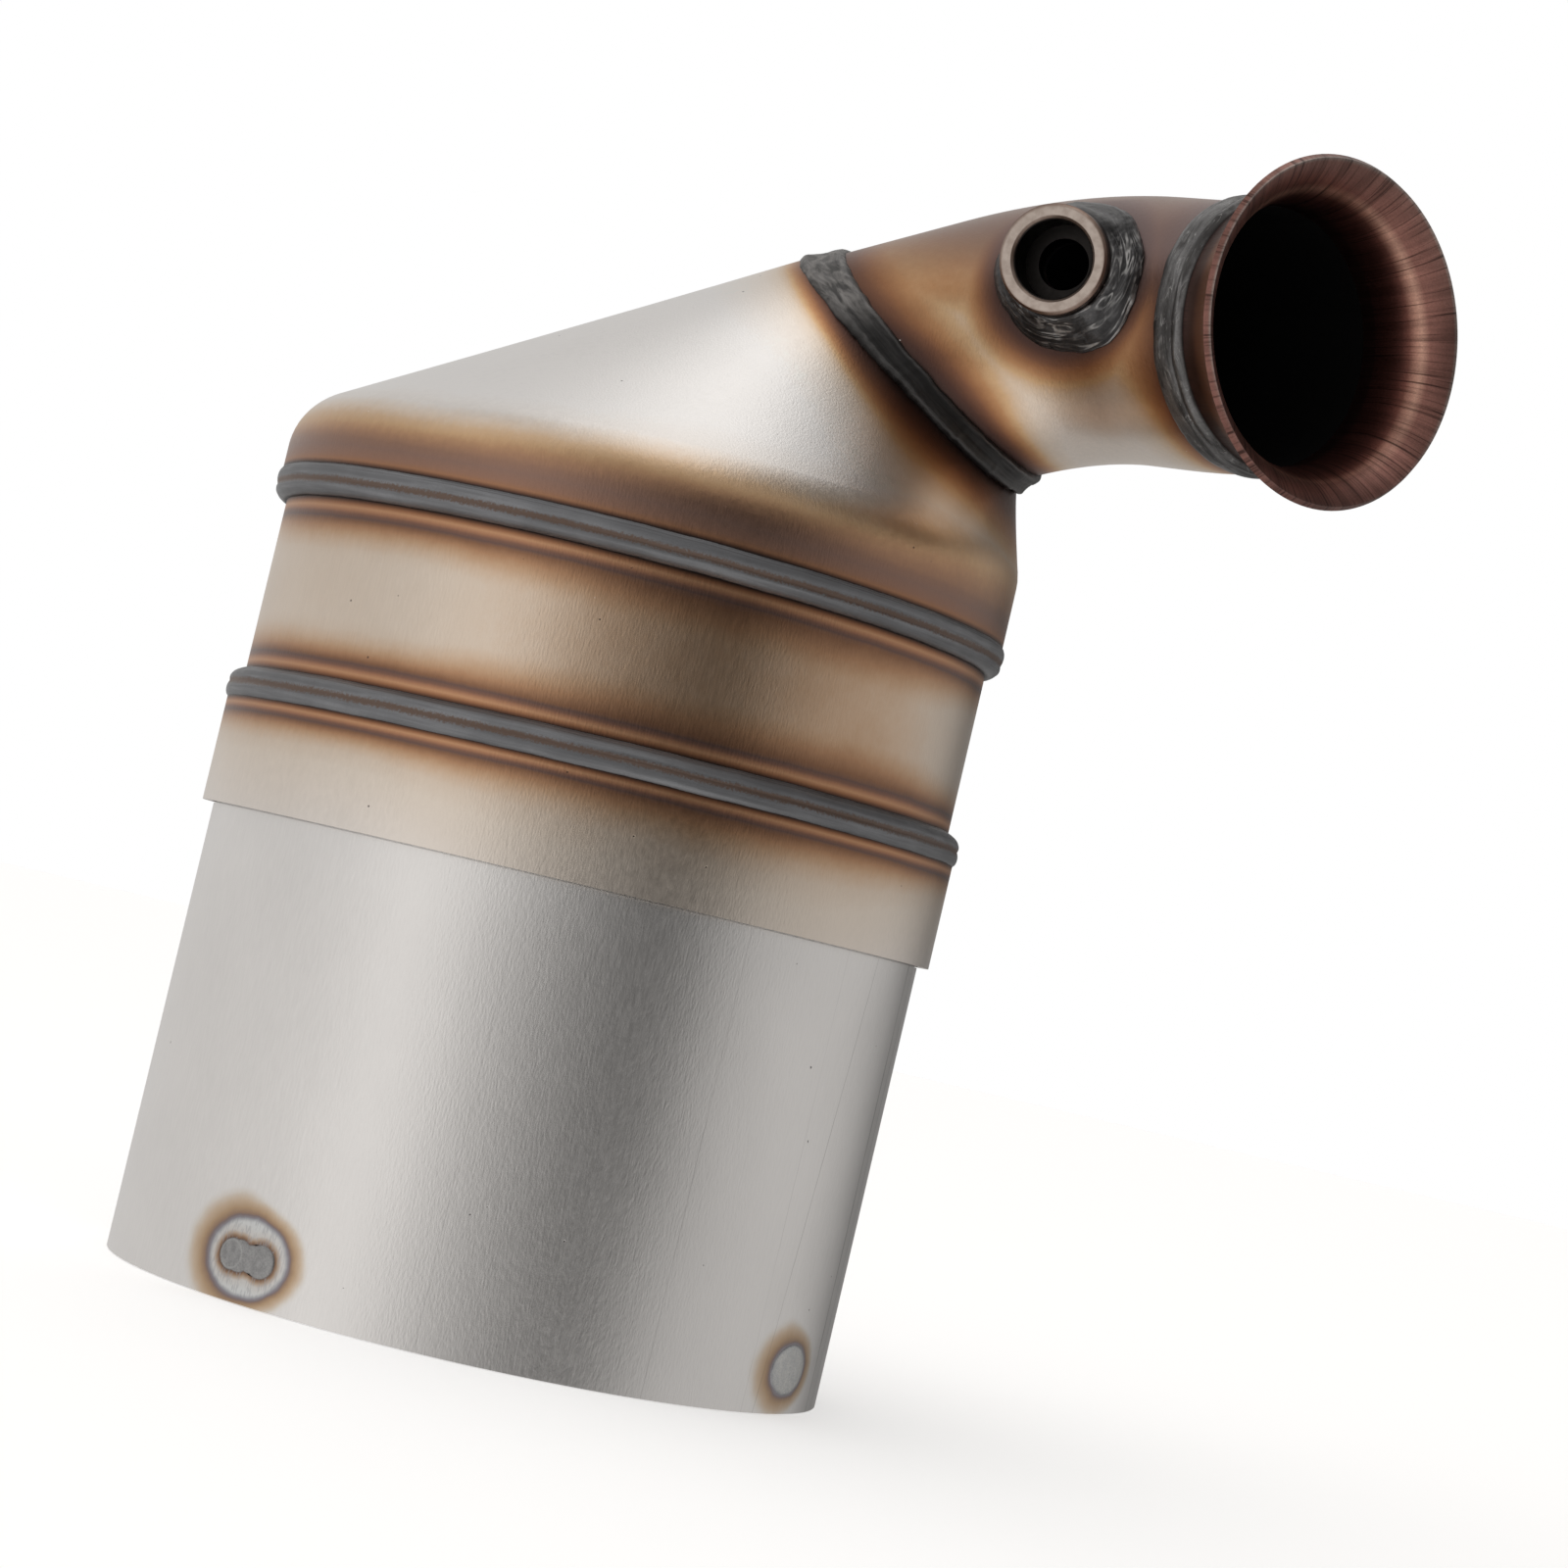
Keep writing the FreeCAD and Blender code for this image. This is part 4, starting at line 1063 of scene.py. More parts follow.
# %% Ripples for the beads
def geometry_tree(name, sizes, counts=()):
    """A tree with an input for each size and count, and one for the material."""
    tree = bpy.data.node_groups.new(name, "GeometryNodeTree")
    face = tree.interface
    face.new_socket("Geometry", in_out="INPUT", socket_type="NodeSocketGeometry")
    for titles, kind in ((sizes, "NodeSocketFloat"), (counts, "NodeSocketInt")):
        for title, start in titles:
            face.new_socket(title, in_out="INPUT", socket_type=kind).default_value = start
    face.new_socket("Material", in_out="INPUT", socket_type="NodeSocketMaterial")
    face.new_socket("Geometry", in_out="OUTPUT", socket_type="NodeSocketGeometry")
    return Tree(tree), tree.nodes.new("NodeGroupInput").outputs


def close_tree(t, geometry, material):
    """Makes a tree's copies real, gives them the material and ends it."""
    whole = t.add("GeometryNodeRealizeInstances", {"Geometry": geometry})
    done = t.add("GeometryNodeSetMaterial", {"Geometry": whole, "Material": material})
    t.tree.links.new(done, t.tree.nodes.new("NodeGroupOutput").inputs[0])
    return t.tree


def named_value(t, name, kind="FLOAT"):
    return t.add("GeometryNodeInputNamedAttribute", {"Name": name}, data_type=kind)


def ripple_tree():
    sizes = [
        ("Ridge height", 0.2),
        ("Ridge spacing", 1.2),
        ("Ridge length", 12.0),
        ("Swirl", 0.5),
        ("Froth height", 0.05),
        ("Froth size", 0.9),
        ("Seed", 1.0),
    ]
    t, given = geometry_tree("Weld ripples", sizes)
    place, crown = named_value(t, "weld_place", "FLOAT_VECTOR"), named_value(t, "weld_crown")
    split = t.split(place)
    stretched = t.joined(
        t.sum("DIVIDE", split[0], given["Ridge length"]),
        t.sum("DIVIDE", split[1], given["Ridge length"]),
        t.sum("ADD", t.sum("DIVIDE", split[2], given["Ridge spacing"]), given["Seed"]),
    )
    ridges = t.wobble(stretched, 1.0, 2.0, 0.55, given["Swirl"])
    ridges = t.sum("MULTIPLY", ridges, given["Ridge height"])
    froth = t.wobble(t.scaled(place, t.sum("DIVIDE", 1.0, given["Froth size"])), 1.0, 2.0)
    froth = t.sum("MULTIPLY", froth, given["Froth height"])
    push = t.sum("MULTIPLY", t.sum("ADD", ridges, froth), t.sum("MULTIPLY", crown, 2.0 * MM))
    moved = t.add(
        "GeometryNodeSetPosition",
        {"Geometry": given["Geometry"], "Offset": t.scaled(t.add("GeometryNodeInputNormal"), push)},
    )
    return close_tree(t, moved, given["Material"])


RIPPLES = ripple_tree()


def add_tree(thing, tree, values):
    """Puts a geometry tree on an object and sets its inputs by their identifiers."""
    modifier = thing.modifiers.new(tree.name, "NODES")
    modifier.node_group = tree
    for item in tree.interface.items_tree:
        if item.item_type == "SOCKET" and item.in_out == "INPUT" and item.name in values:
            modifier[item.identifier] = values[item.name]


def baked(thing):
    """Turns the evaluated object into a plain mesh piece and takes its modifiers off."""
    graph = bpy.context.evaluated_depsgraph_get()
    mesh = bpy.data.meshes.new_from_object(thing.evaluated_get(graph))
    thing.modifiers.clear()
    thing.data = mesh
    mesh.name = thing.name
    return thing


print("tree", RIPPLES.name)

# %% [markdown]
# The metal of the beads reads the same places for its colour. The machine-laid rings are an
# even slate grey with a rusty line in the groove and thin dark lines by the edges. The
# hand-laid ones are darker, and fine pale strokes swirl over the mouth and boss beads as
# painted highlights, where their ripples catch the light.


# %% The beads' metal
TOE_BLACK, SPARK = (0.022, 0.018, 0.017), (0.70, 0.68, 0.66)


def weld_metal(
    name, light, dark, length, spacing, swirl, rough, highlight_strokes=0.0, lines=None, toe=0.06, patchy=0.2
):
    """lines(t, share, place, colour) may draw more along the bead."""
    material, t = new_material(name)
    place = t.add("ShaderNodeAttribute", attribute_name="weld_place", out="Vector")
    share = t.add("ShaderNodeAttribute", attribute_name="weld_share", out="Fac")
    split = t.split(place)
    across = t.sum("MULTIPLY", split[2], length / spacing)
    stretched = t.scaled(t.joined(split[0], split[1], across), 1.0 / length)
    bands = t.noise(stretched, 1.0, 4.0, 0.6, swirl)
    grain = t.noise(place, 2.2, 3.0, 0.6)
    cloud = t.noise(place, 0.11, 2.0, 0.5)
    colour = t.mix(t.range(bands, 0.34, 0.68), dark, light)
    colour = t.mix(t.range(grain, 0.35, 0.75, 0.0, 0.35), colour, dark)
    colour = t.toned(colour, t.range(cloud, 0.3, 0.7, 1.0 - patchy, 1.0 + patchy))
    # Painted highlights: pale strokes that swirl over the bead where its ripples catch the light.
    if highlight_strokes:
        swirls = t.noise(stretched, 1.1, 3.0, 0.55, swirl * 1.6)
        fold = t.sum("PINGPONG", t.sum("MULTIPLY", swirls, 4.5), 0.5)
        thin = t.range(fold, 0.0, 0.10, 1.0, 0.0)
        patch = t.range(t.noise(place, 0.32, 2.0), 0.40, 0.62)
        amount = t.sum("MULTIPLY", t.sum("MULTIPLY", thin, patch), highlight_strokes)
        colour = t.mix(amount, colour, (0.52, 0.51, 0.50))
    if lines:
        colour = lines(t, share, place, colour)
    edge = t.sum("MINIMUM", share, t.sum("SUBTRACT", 1.0, share))
    colour = t.mix(t.range(edge, 0.008, toe, 0.95, 0.0), colour, TOE_BLACK)
    sparks = specks(t, place, 4.5, 0.20, 0.42)
    colour = t.mix(t.sum("MULTIPLY", sparks, 0.8), colour, SPARK)
    height = t.sum("MULTIPLY_ADD", grain, 0.4, bands)
    roughness = t.range(bands, 0.3, 0.7, rough + 0.07, rough - 0.05, smooth=False)
    return surfaced(material, t, colour, roughness, height, (0.4, 0.10), 0.7)


def rusty_groove(t, share, place, colour):
    """A freckled rusty line in the groove and two thin dark ones near an edge."""
    freckle = t.wobble(place, 1.9, 3.0, 0.75)
    far = t.off(t.sum("MULTIPLY_ADD", freckle, 0.30, share), 0.475)
    colour = t.mix(t.range(far, 0.045, 0.145, 0.92, 0.0), colour, (0.138, 0.090, 0.067))
    for middle, thick in ((0.865, 0.012), (0.93, 0.010)):
        thread = t.off(t.sum("MULTIPLY_ADD", freckle, 0.02, share), middle)
        colour = t.mix(t.range(thread, 0.0, thick * 2, 0.40, 0.0), colour, (0.05, 0.047, 0.048))
    return colour


def neck_streaks(t, share, place, colour):
    """Paler ridges along both edges of the neck bead, and grey where it was laid last."""
    around = t.split(place)[0]
    ragged = t.wobble(place, 0.5, 3.0, 0.6)
    for middle in (0.17, 0.83):
        off = t.off(t.sum("MULTIPLY_ADD", ragged, 0.12, share), middle)
        colour = t.mix(t.range(off, 0.0, 0.09, 0.5, 0.0), colour, (0.115, 0.111, 0.110))
    mottle = t.noise(t.vec("MULTIPLY", place, (0.20, 0.20, 0.62)), 1.0, 3.0, 0.55, 0.6)
    mottle = t.range(mottle, 0.34, 0.70, 0.10, 0.75)
    upper = t.sum("MULTIPLY", t.range(around, -27.0, -14.0, 1.0, 0.0), mottle)
    colour = t.mix(upper, colour, (0.29, 0.275, 0.265))
    return t.mix(t.range(around, 20.0, 29.0, 0.0, 0.55), colour, (0.16, 0.157, 0.155))


def boss_highlight_arcs(t, share, place, colour):
    """Pale wisps that curl over the lower right of the boss bead: painted highlights where its ripples
    catch the light.
    """
    split = t.split(place)
    # Painted highlight: the wisps are kept to the lower right, where the ripples catch the light.
    there = t.range(t.sum("SUBTRACT", split[0], split[1]), -6.0, 15.0, 0.05, 1.0)
    curl = t.noise(t.vec("MULTIPLY", place, (0.055, 0.055, 0.28)), 1.0, 2.5, 0.55, 0.9)
    fold = t.sum("PINGPONG", t.sum("MULTIPLY", curl, 7.0), 0.5)
    wisp = t.sum("MULTIPLY", t.range(fold, 0.0, 0.30, 0.8, 0.0), there)
    patch = t.range(t.noise(place, 0.25, 2.0), 0.40, 0.64, 0.12, 1.0)
    return t.mix(t.sum("MULTIPLY", wisp, patch), colour, (0.58, 0.57, 0.56))


# The first three numbers of each metal are the length, spacing and swirl of its streaks, and
# the fourth is its roughness.
ring_metal = weld_metal(
    "ring_bead_metal", (0.225, 0.229, 0.240), (0.170, 0.172, 0.180), 30.0, 1.1, 0.3, 0.48,
    lines=rusty_groove, toe=0.04, patchy=0.07,
)
neck_metal = weld_metal(
    "neck_bead_metal", (0.048, 0.046, 0.0455), (0.018, 0.017, 0.0168), 18.0, 1.2, 0.5, 0.46,
    lines=neck_streaks,
)
mouth_metal = weld_metal(
    "mouth_bead_metal", (0.195, 0.191, 0.191), (0.048, 0.045, 0.044), 12.0, 2.4, 0.9, 0.44,
    highlight_strokes=0.45,
)
boss_metal = weld_metal(
    "boss_bead_metal", (0.095, 0.093, 0.095), (0.032, 0.031, 0.032), 9.0, 2.2, 1.0, 0.44,
    lines=boss_highlight_arcs,
)
RIDGE_SIZES = ("Ridge height", "Ridge spacing", "Ridge length", "Froth height", "Swirl")
BEAD_LOOKS = {
    "sleeve_weld": (ring_metal, (0.05, 1.4, 40.0, 0.02, 0.5)),
    "cone_weld": (ring_metal, (0.05, 1.4, 40.0, 0.02, 0.5)),
    "neck_weld": (neck_metal, (0.26, 1.5, 16.0, 0.05, 0.6)),
    "flange_weld": (mouth_metal, (0.16, 1.4, 12.0, 0.06, 0.9)),
    "boss_weld": (boss_metal, (0.30, 2.0, 5.0, 0.06, 1.4)),
}
for seed, (node, thing) in enumerate(beads.items(), start=1):
    material, sizes = BEAD_LOOKS[node]
    values = dict(zip(RIDGE_SIZES, sizes))
    add_tree(thing, RIPPLES, {**values, "Seed": seed * 7.3, "Material": material})
    baked(thing)
    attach(thing, "root")
    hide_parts(node)
    print(thing.name, len(thing.data.polygons), "faces")

# %% [markdown]
# The plug welds fill holes near the rim, and each froze with a slightly domed face and a
# thin dark edge. A single one is an oval cap bent to the can, and a pair is four joined
# discs. Each cap reaches down far enough to fill its hole.


# %% Plug welds
def cap_outline(discs, angle):
    """How far the joined discs reach from the middle in one direction, in millimetres."""
    u, v = math.cos(angle), math.sin(angle)
    reach = 0.0
    for middle, wide, tall in discs:
        a, b = (u / wide) ** 2 + (v / tall) ** 2, -u * middle / wide**2
        rest = b * b - a * ((middle / wide) ** 2 - 1.0)
        if rest > 0:
            reach = max(reach, (-b + math.sqrt(rest)) / a)
    return reach


def mesh_of(work, name):
    """A new mesh from a working one, with its faces turned outwards."""
    bmesh.ops.recalc_face_normals(work, faces=work.faces)
    mesh = bpy.data.meshes.new(name)
    work.to_mesh(mesh)
    work.free()
    return mesh


CAP_DOME, CAP_DEPTH = 0.32, 1.4


def plug_caps(name):
    """Domed caps over every plug hole, as one mesh."""
    work = bmesh.new()
    spots = [(b, [(0.0, SINGLE_WIDE, SINGLE_TALL)]) for b in PLUG_BEARINGS]
    spots += [(b, [(u, r, r) for u, r in BLOBS]) for b in PAIR_BEARINGS]
    rings, turns = 10, 96
    for number, (bearing, discs) in enumerate(spots):
        rows = []
        for r in range(rings + 1):
            row = []
            for k in range(turns):
                a = 2 * math.pi * k / turns
                ragged = 1 + 0.015 * drifting(a, 5, 2.0, number * 3.7)
                reach = cap_outline(discs, a) * (r / rings) * ragged
                u, v = reach * math.cos(a), reach * math.sin(a)
                gaps = [math.hypot((u - middle) / wide, v / tall) for middle, wide, tall in discs]
                depth = max(1 - gap for gap in gaps)
                dome = CAP_DOME * (1 - (1 - max(depth, 0.0)) ** 4)
                dome += 0.05 * noise.noise(Vector((u, v, number * 2.1)))
                out = CAN_RADIUS + (dome if r < rings else -0.05)
                swing = math.radians(bearing) + u / CAN_RADIUS
                spot = metres(out * math.cos(swing), out * math.sin(swing), PLUG_HEIGHT + v)
                row.append(work.verts.new(spot))
            rows.append(row)
        back = []
        for vert in rows[-1]:
            flat = Vector((vert.co.x, vert.co.y, 0)).normalized() * (CAN_RADIUS - CAP_DEPTH) * MM
            back.append(work.verts.new((flat.x, flat.y, vert.co.z)))
        rows.append(back)
        for low, high in zip(rows[1:], rows[2:]):
            for k in range(turns):
                m = (k + 1) % turns
                work.faces.new((low[k], low[m], high[m], high[k]))
        for k in range(turns):
            work.faces.new((rows[0][0], rows[1][k], rows[1][(k + 1) % turns]))
        for vert in rows[0][1:]:
            work.verts.remove(vert)
        work.faces.new(back)
    mesh = mesh_of(work, name)
    mesh.shade_smooth()
    return linked(name, mesh)


spot_metal, t = new_material("spot_metal")
place = about(t, CAN_AXIS)["Place"]
mottle = t.noise(place, 0.7, 4.0, 0.6)
fine = t.noise(place, 3.0, 3.0, 0.6)
colour = t.mix(t.range(mottle, 0.32, 0.68), (0.27, 0.267, 0.268), (0.34, 0.336, 0.335))
lone = t.mix(t.range(mottle, 0.32, 0.68), (0.52, 0.525, 0.525), (0.60, 0.595, 0.58))
for bearing in PLUG_BEARINGS:
    gap, side = oval(t, place, bearing, SINGLE_WIDE, SINGLE_TALL)
    lone = t.mix(t.range(gap, -0.9, -0.1, 0.0, 0.7), lone, (0.34, 0.345, 0.375))
    colour = t.mix(t.range(gap, 0.5, 1.0, 1.0, 0.0), colour, lone)
for bearing in PAIR_BEARINGS:
    gap, left = blobs(t, place, bearing)
    arc = t.range(t.sum("ABSOLUTE", t.sum("ADD", left, 0.55)), 0.0, 0.35, 0.5, 0.0)
    colour = t.mix(arc, colour, (0.44, 0.44, 0.435))
    edge = t.range(t.sum("ABSOLUTE", gap), 0.10, 0.40, 0.75, 0.0)
    colour = t.mix(edge, colour, (0.17, 0.14, 0.13))
colour = t.toned(colour, t.range(fine, 0.3, 0.7, 0.86, 1.14, smooth=False))
surfaced(spot_metal, t, colour, 0.46, t.sum("ADD", mottle, fine), (0.35, 0.08), 0.85)
caps = plug_caps("plug_weld_caps")
caps.data.materials.append(spot_metal)
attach(caps, "root")
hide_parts("plug_welds")
print(caps.name, len(caps.data.polygons), "faces")

# %% [markdown]
# The seam that closes the rolled sheet is ground flush, so it only shows as a duller strip.
# The ring inside the rim is plain pressed steel.

# %% Seam and end ring
SEAM_GREY = (0.80, 0.80, 0.81)
RIM_START = 22.0


def ground_flush(t, place, colour, roughness):
    """A seam that was ground flush is a little greyer than the sheet."""
    return t.mix(1.0, colour, SEAM_GREY, "MULTIPLY"), roughness


def ring_heat(t):
    """A distance that leaves the ring inside the rim hardly tinted."""
    can = about(t, CAN_AXIS)
    return t.sum("ADD", can["Along"], RIM_START), can["Place"]


seam_steel = steel("seam_steel", can_heat, RING_HEAT, (2.2, 2.2, 0.6), 0.40, ground_flush)
dress("can_seam_weld", seam_steel)
dress("end_ring", steel("ring_steel", ring_heat, SOAKED_HEAT, (0.9, 0.9, 0.9), 0.40))
print("seam and ring dressed")

# %% [markdown]
# Under the rim the filter block shows: dark silicon carbide, squares of it glued with pale
# cement, wrapped in a pale fibre mat that a knitted wire ring keeps in place.


# %% Block, cement, mat and seals
GRAIN_BUMP = (0.4, 0.10)


def ceramic(name, light, dark, scale, rough):
    material, t = new_material(name)
    place = about(t, CAN_AXIS)["Place"]
    grain = t.noise(place, scale, 4.0, 0.65)
    colour = t.mix(t.range(grain, 0.3, 0.7), dark, light)
    return surfaced(material, t, colour, rough, grain, GRAIN_BUMP)


# Painted shade: the block's own faces behind the pits are near black, for the shade deep in the
# channels.
carbide_in_painted_shade = ceramic("carbide_in_painted_shade", (0.030, 0.029, 0.028), (0.015, 0.0145, 0.014), 1.2, 0.9)
for node in ("filter_segments_core", "filter_segments_edge", "filter_segments_corner"):
    dress(node, carbide_in_painted_shade)
cement = ceramic("cement", (0.42, 0.40, 0.37), (0.26, 0.25, 0.23), 0.8, 0.9)
dress("segment_cement", cement)
dress("block_skin", cement)
dress("support_mat", ceramic("mat_fibre", (0.82, 0.80, 0.74), (0.62, 0.59, 0.52), 1.6, 0.95))
dress("seal_rings", ceramic("seal_mesh", (0.34, 0.33, 0.31), (0.12, 0.115, 0.11), 2.5, 0.5))
print("block dressed")

# %% [markdown]
# The face of the block is a chequer of open and plugged channels, nearly three thousand of
# each. A geometry node tree draws one square segment as a grid whose lines alternate between
# wall and channel, repeats it over the block, trims it to a circle, gives it thickness and
# sinks every second channel. The pits are shallow, but the block behind them and the deeper
# parts of the pits are painted near black as shade, so they read as the deep channels that
# they stand for.


# %% Channels in the face of the block
def square_grid(t, count, size):
    values = {"Vertices X": count, "Vertices Y": count, "Size X": size, "Size Y": size}
    return t.add("GeometryNodeMeshGrid", values)


def marked_faces(t, geometry, name, value):
    """Keeps a value on each face under a name."""
    values = {"Geometry": geometry, "Name": name, "Value": value}
    kinds = {"data_type": "FLOAT", "domain": "FACE"}
    return t.add("GeometryNodeStoreNamedAttribute", values, **kinds)


def odd_or_even(t, number):
    """1 for an odd whole number and 0 for an even one, and the number's half rounded down."""
    half = t.sum("FLOOR", t.sum("MULTIPLY_ADD", number, 0.5, 0.01))
    return t.sum("SUBTRACT", number, t.sum("MULTIPLY", half, 2.0)), half


def filter_face_tree():
    sizes = [
        ("Segment side", 35.0),
        ("Segment pitch", 36.0),
        ("Wall", 0.42),
        ("Radius", 69.3),
        ("Front", 17.7),
        ("Back", 19.2),
        ("Pit depth", 1.35),
    ]
    t, given = geometry_tree("Filter face", sizes, [("Channels", 19), ("Segments", 4)])
    side, wall = given["Segment side"], given["Wall"]
    lines = t.sum("MULTIPLY_ADD", given["Channels"], 2.0, 2.0)
    grid = square_grid(t, lines, 1.0)
    number = t.add("GeometryNodeInputIndex")
    column = t.sum("FLOOR", t.sum("DIVIDE", t.sum("ADD", number, 0.5), lines))
    row = t.sum("SUBTRACT", number, t.sum("MULTIPLY", column, lines))
    cell = t.sum("DIVIDE", side, given["Channels"])
    spots = []
    for line in (column, row):
        odd, pair = odd_or_even(t, t.sum("SUBTRACT", line, 1.0))
        half_wall = t.sum("MULTIPLY", wall, 0.5)
        inset = t.sum("MULTIPLY_ADD", odd, t.sum("SUBTRACT", cell, wall), half_wall)
        raw = t.sum("MULTIPLY_ADD", pair, cell, inset)
        held = t.sum("MINIMUM", t.sum("MAXIMUM", raw, 0.0), side)
        spots.append(t.sum("MULTIPLY_ADD", side, -0.5, held))
    flat = t.joined(*spots)
    laid = t.add("GeometryNodeSetPosition", {"Geometry": grid, "Position": flat})
    here = t.split(t.add("GeometryNodeInputPosition"))
    inside, numbers = [], []
    for value in (here[0], here[1]):
        count = t.sum("DIVIDE", t.sum("MULTIPLY_ADD", side, 0.5, value), cell)
        whole = t.sum("FLOOR", count)
        off = t.off(t.sum("SUBTRACT", count, whole), 0.5)
        inside.append(t.sum("LESS_THAN", off, 0.25))
        numbers.append(whole)
    both = t.sum("MULTIPLY", *inside)
    parity, _ = odd_or_even(t, t.sum("ADD", *numbers))
    opened = t.sum("MULTIPLY", both, parity)
    plugged = t.sum("MULTIPLY", both, t.sum("SUBTRACT", 1.0, parity))
    marked = marked_faces(t, laid, "open_channel", opened)
    marked = marked_faces(t, marked, "plugged_channel", plugged)
    span = t.sum("MULTIPLY", given["Segment pitch"], t.sum("SUBTRACT", given["Segments"], 1.0))
    spread = square_grid(t, given["Segments"], span)
    copies = t.add("GeometryNodeInstanceOnPoints", {"Points": spread, "Instance": marked})
    whole = t.add("GeometryNodeRealizeInstances", {"Geometry": copies})
    place = t.add("GeometryNodeInputPosition")
    radius = t.vec("LENGTH", place)
    beyond = t.sum("GREATER_THAN", radius, given["Radius"])
    values = {"Geometry": whole, "Selection": beyond}
    trimmed = t.add("GeometryNodeDeleteGeometry", values, domain="FACE")
    clamp = t.sum("MINIMUM", t.sum("DIVIDE", given["Radius"], t.sum("MAXIMUM", radius, 0.001)), 1.0)
    values = {"Geometry": trimmed, "Position": t.scaled(place, clamp)}
    rounded = t.add("GeometryNodeSetPosition", values)
    back = t.joined(z=given["Back"])
    raised = t.add("GeometryNodeTransform", {"Geometry": rounded, "Translation": back})
    thick = t.sum("SUBTRACT", given["Front"], given["Back"])
    deep = t.sum("MULTIPLY", thick, -1.0)
    values = {"Mesh": raised, "Offset": t.joined(z=-1.0), "Offset Scale": deep, "Individual": False}
    slab = t.add("GeometryNodeExtrudeMesh", values)
    pit = t.sum("MULTIPLY", named_value(t, "open_channel"), slab.node.outputs["Top"])
    chosen = t.sum("GREATER_THAN", pit, 0.5)
    values = {"Mesh": slab, "Selection": chosen, "Offset": t.joined(z=1.0), "Individual": True}
    sunk = t.add("GeometryNodeExtrudeMesh", {**values, "Offset Scale": given["Pit depth"]})
    joined = t.tree.nodes.new("GeometryNodeJoinGeometry")
    t.tree.links.new(raised, joined.inputs[0])
    t.tree.links.new(sunk, joined.inputs[0])
    welded = t.add("GeometryNodeMergeByDistance", {"Geometry": joined.outputs[0], "Distance": 0.01})
    scaled = t.add("GeometryNodeTransform", {"Geometry": welded, "Scale": (MM, MM, MM)})
    return close_tree(t, scaled, given["Material"])


carbide, t = new_material("carbide")
place = about(t, CAN_AXIS)["Place"]
grain = t.noise(place, 1.4, 4.0, 0.65)
body = t.mix(t.range(grain, 0.3, 0.7), (0.075, 0.073, 0.070), (0.15, 0.146, 0.14))
plug = t.add("ShaderNodeAttribute", attribute_name="plugged_channel", out="Fac")
body = t.mix(t.sum("MULTIPLY", plug, 0.8), body, (0.20, 0.195, 0.185))
z = t.split(place)[2]
# Painted shade: deeper than 18.5 mm the pit walls and bottoms go near black.
body = t.mix(t.range(z, 17.75, 18.5), body, (0.012, 0.012, 0.011))
surfaced(carbide, t, body, 0.85, grain, GRAIN_BUMP)

channels = linked("filter_face", bpy.data.meshes.new("filter_face"))
add_tree(channels, filter_face_tree(), {"Material": carbide})
baked(channels)
turn_outwards(channels.data)
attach(channels, "root")
print(channels.name, len(channels.data.polygons), "faces")

# %% [markdown]
# The cement between the segments is nearly level with them. Three strips run each way, cut
# to length by the circle of the block.

# %% Cement strips
CEMENT_HALF, CEMENT_FRONT, CEMENT_BACK, FACE_RADIUS = 0.52, 17.95, 19.15, 69.2
PITCH = 36.0


def strip(work, middle, start, stop, turned):
    """One straight strip of cement between two ends."""
    half = CEMENT_HALF
    corners = []
    for z in (CEMENT_FRONT, CEMENT_BACK):
        for u, v in ((start, -half), (stop, -half), (stop, half), (start, half)):
            x, y = (middle + v, u) if turned else (u, middle + v)
            corners.append(work.verts.new(metres(x, y, z)))
    for quad in ((0, 1, 2, 3), (7, 6, 5, 4), (0, 4, 5, 1), (1, 5, 6, 2), (2, 6, 7, 3), (3, 7, 4, 0)):
        work.faces.new([corners[k] for k in quad])


work = bmesh.new()
for middle in (-PITCH, 0.0, PITCH):
    reach = math.sqrt(FACE_RADIUS**2 - (abs(middle) + CEMENT_HALF) ** 2)
    strip(work, middle, -reach, reach, True)
    stops = [-reach, -PITCH, 0.0, PITCH, reach]
    for low, high in zip(stops, stops[1:]):
        low = low if low == -reach else low + CEMENT_HALF
        high = high if high == reach else high - CEMENT_HALF
        strip(work, middle, low, high, False)
strips = linked("cement_strips", mesh_of(work, "cement_strips"))
strips.data.materials.append(cement)
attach(strips, "root")
print(strips.name, len(strips.data.polygons), "faces")

# %% [markdown]
# A studio for steel is mostly pale card. The camera sees a white wall, while the steel sees
# softly graded light: bright on the left, a dark gap in front that gives the can its long
# shaded stripe, a dimmer right, a bright box above, and a dark card at the upper right. A
# world that depends only on direction does this without a row of lamps. The floor catches a
# soft shadow. It is clear to the steel's reflections, which see the world's pale ground
# instead, and clear from below, so that the filter can be looked at from there.

# %% Studio
# How bright the sides are, by bearing in degrees.
SIDE_LIGHT = [
    (-180, 0.74), (-160, 0.76), (-146, 0.92), (-132, 1.06), (-118, 0.90), (-104, 0.56), (-90, 0.32),
    (-76, 0.145), (-62, 0.04), (-50, 0.06), (-38, 0.36), (-24, 0.56), (-8, 0.64), (12, 0.66), (30, 0.58),
    (44, 0.44), (56, 0.18), (64, 0.06), (72, 0.34), (84, 0.58), (110, 0.72), (130, 0.74), (180, 0.74),
]
# How bright the box overhead is, from its left edge to its right.
BOX_LIGHT = [
    (0.0, 0.60), (0.25, 0.72), (0.42, 1.05), (0.5, 1.30), (0.62, 1.52), (0.70, 1.45), (0.80, 0.98),
    (0.88, 0.46), (0.94, 0.26), (1.0, 0.16),
]


def warm_stops(tones):
    """Colour stops of a slightly warm white from places and tones."""
    return [(place, (v, v * 0.985, v * 0.965)) for place, v in tones]


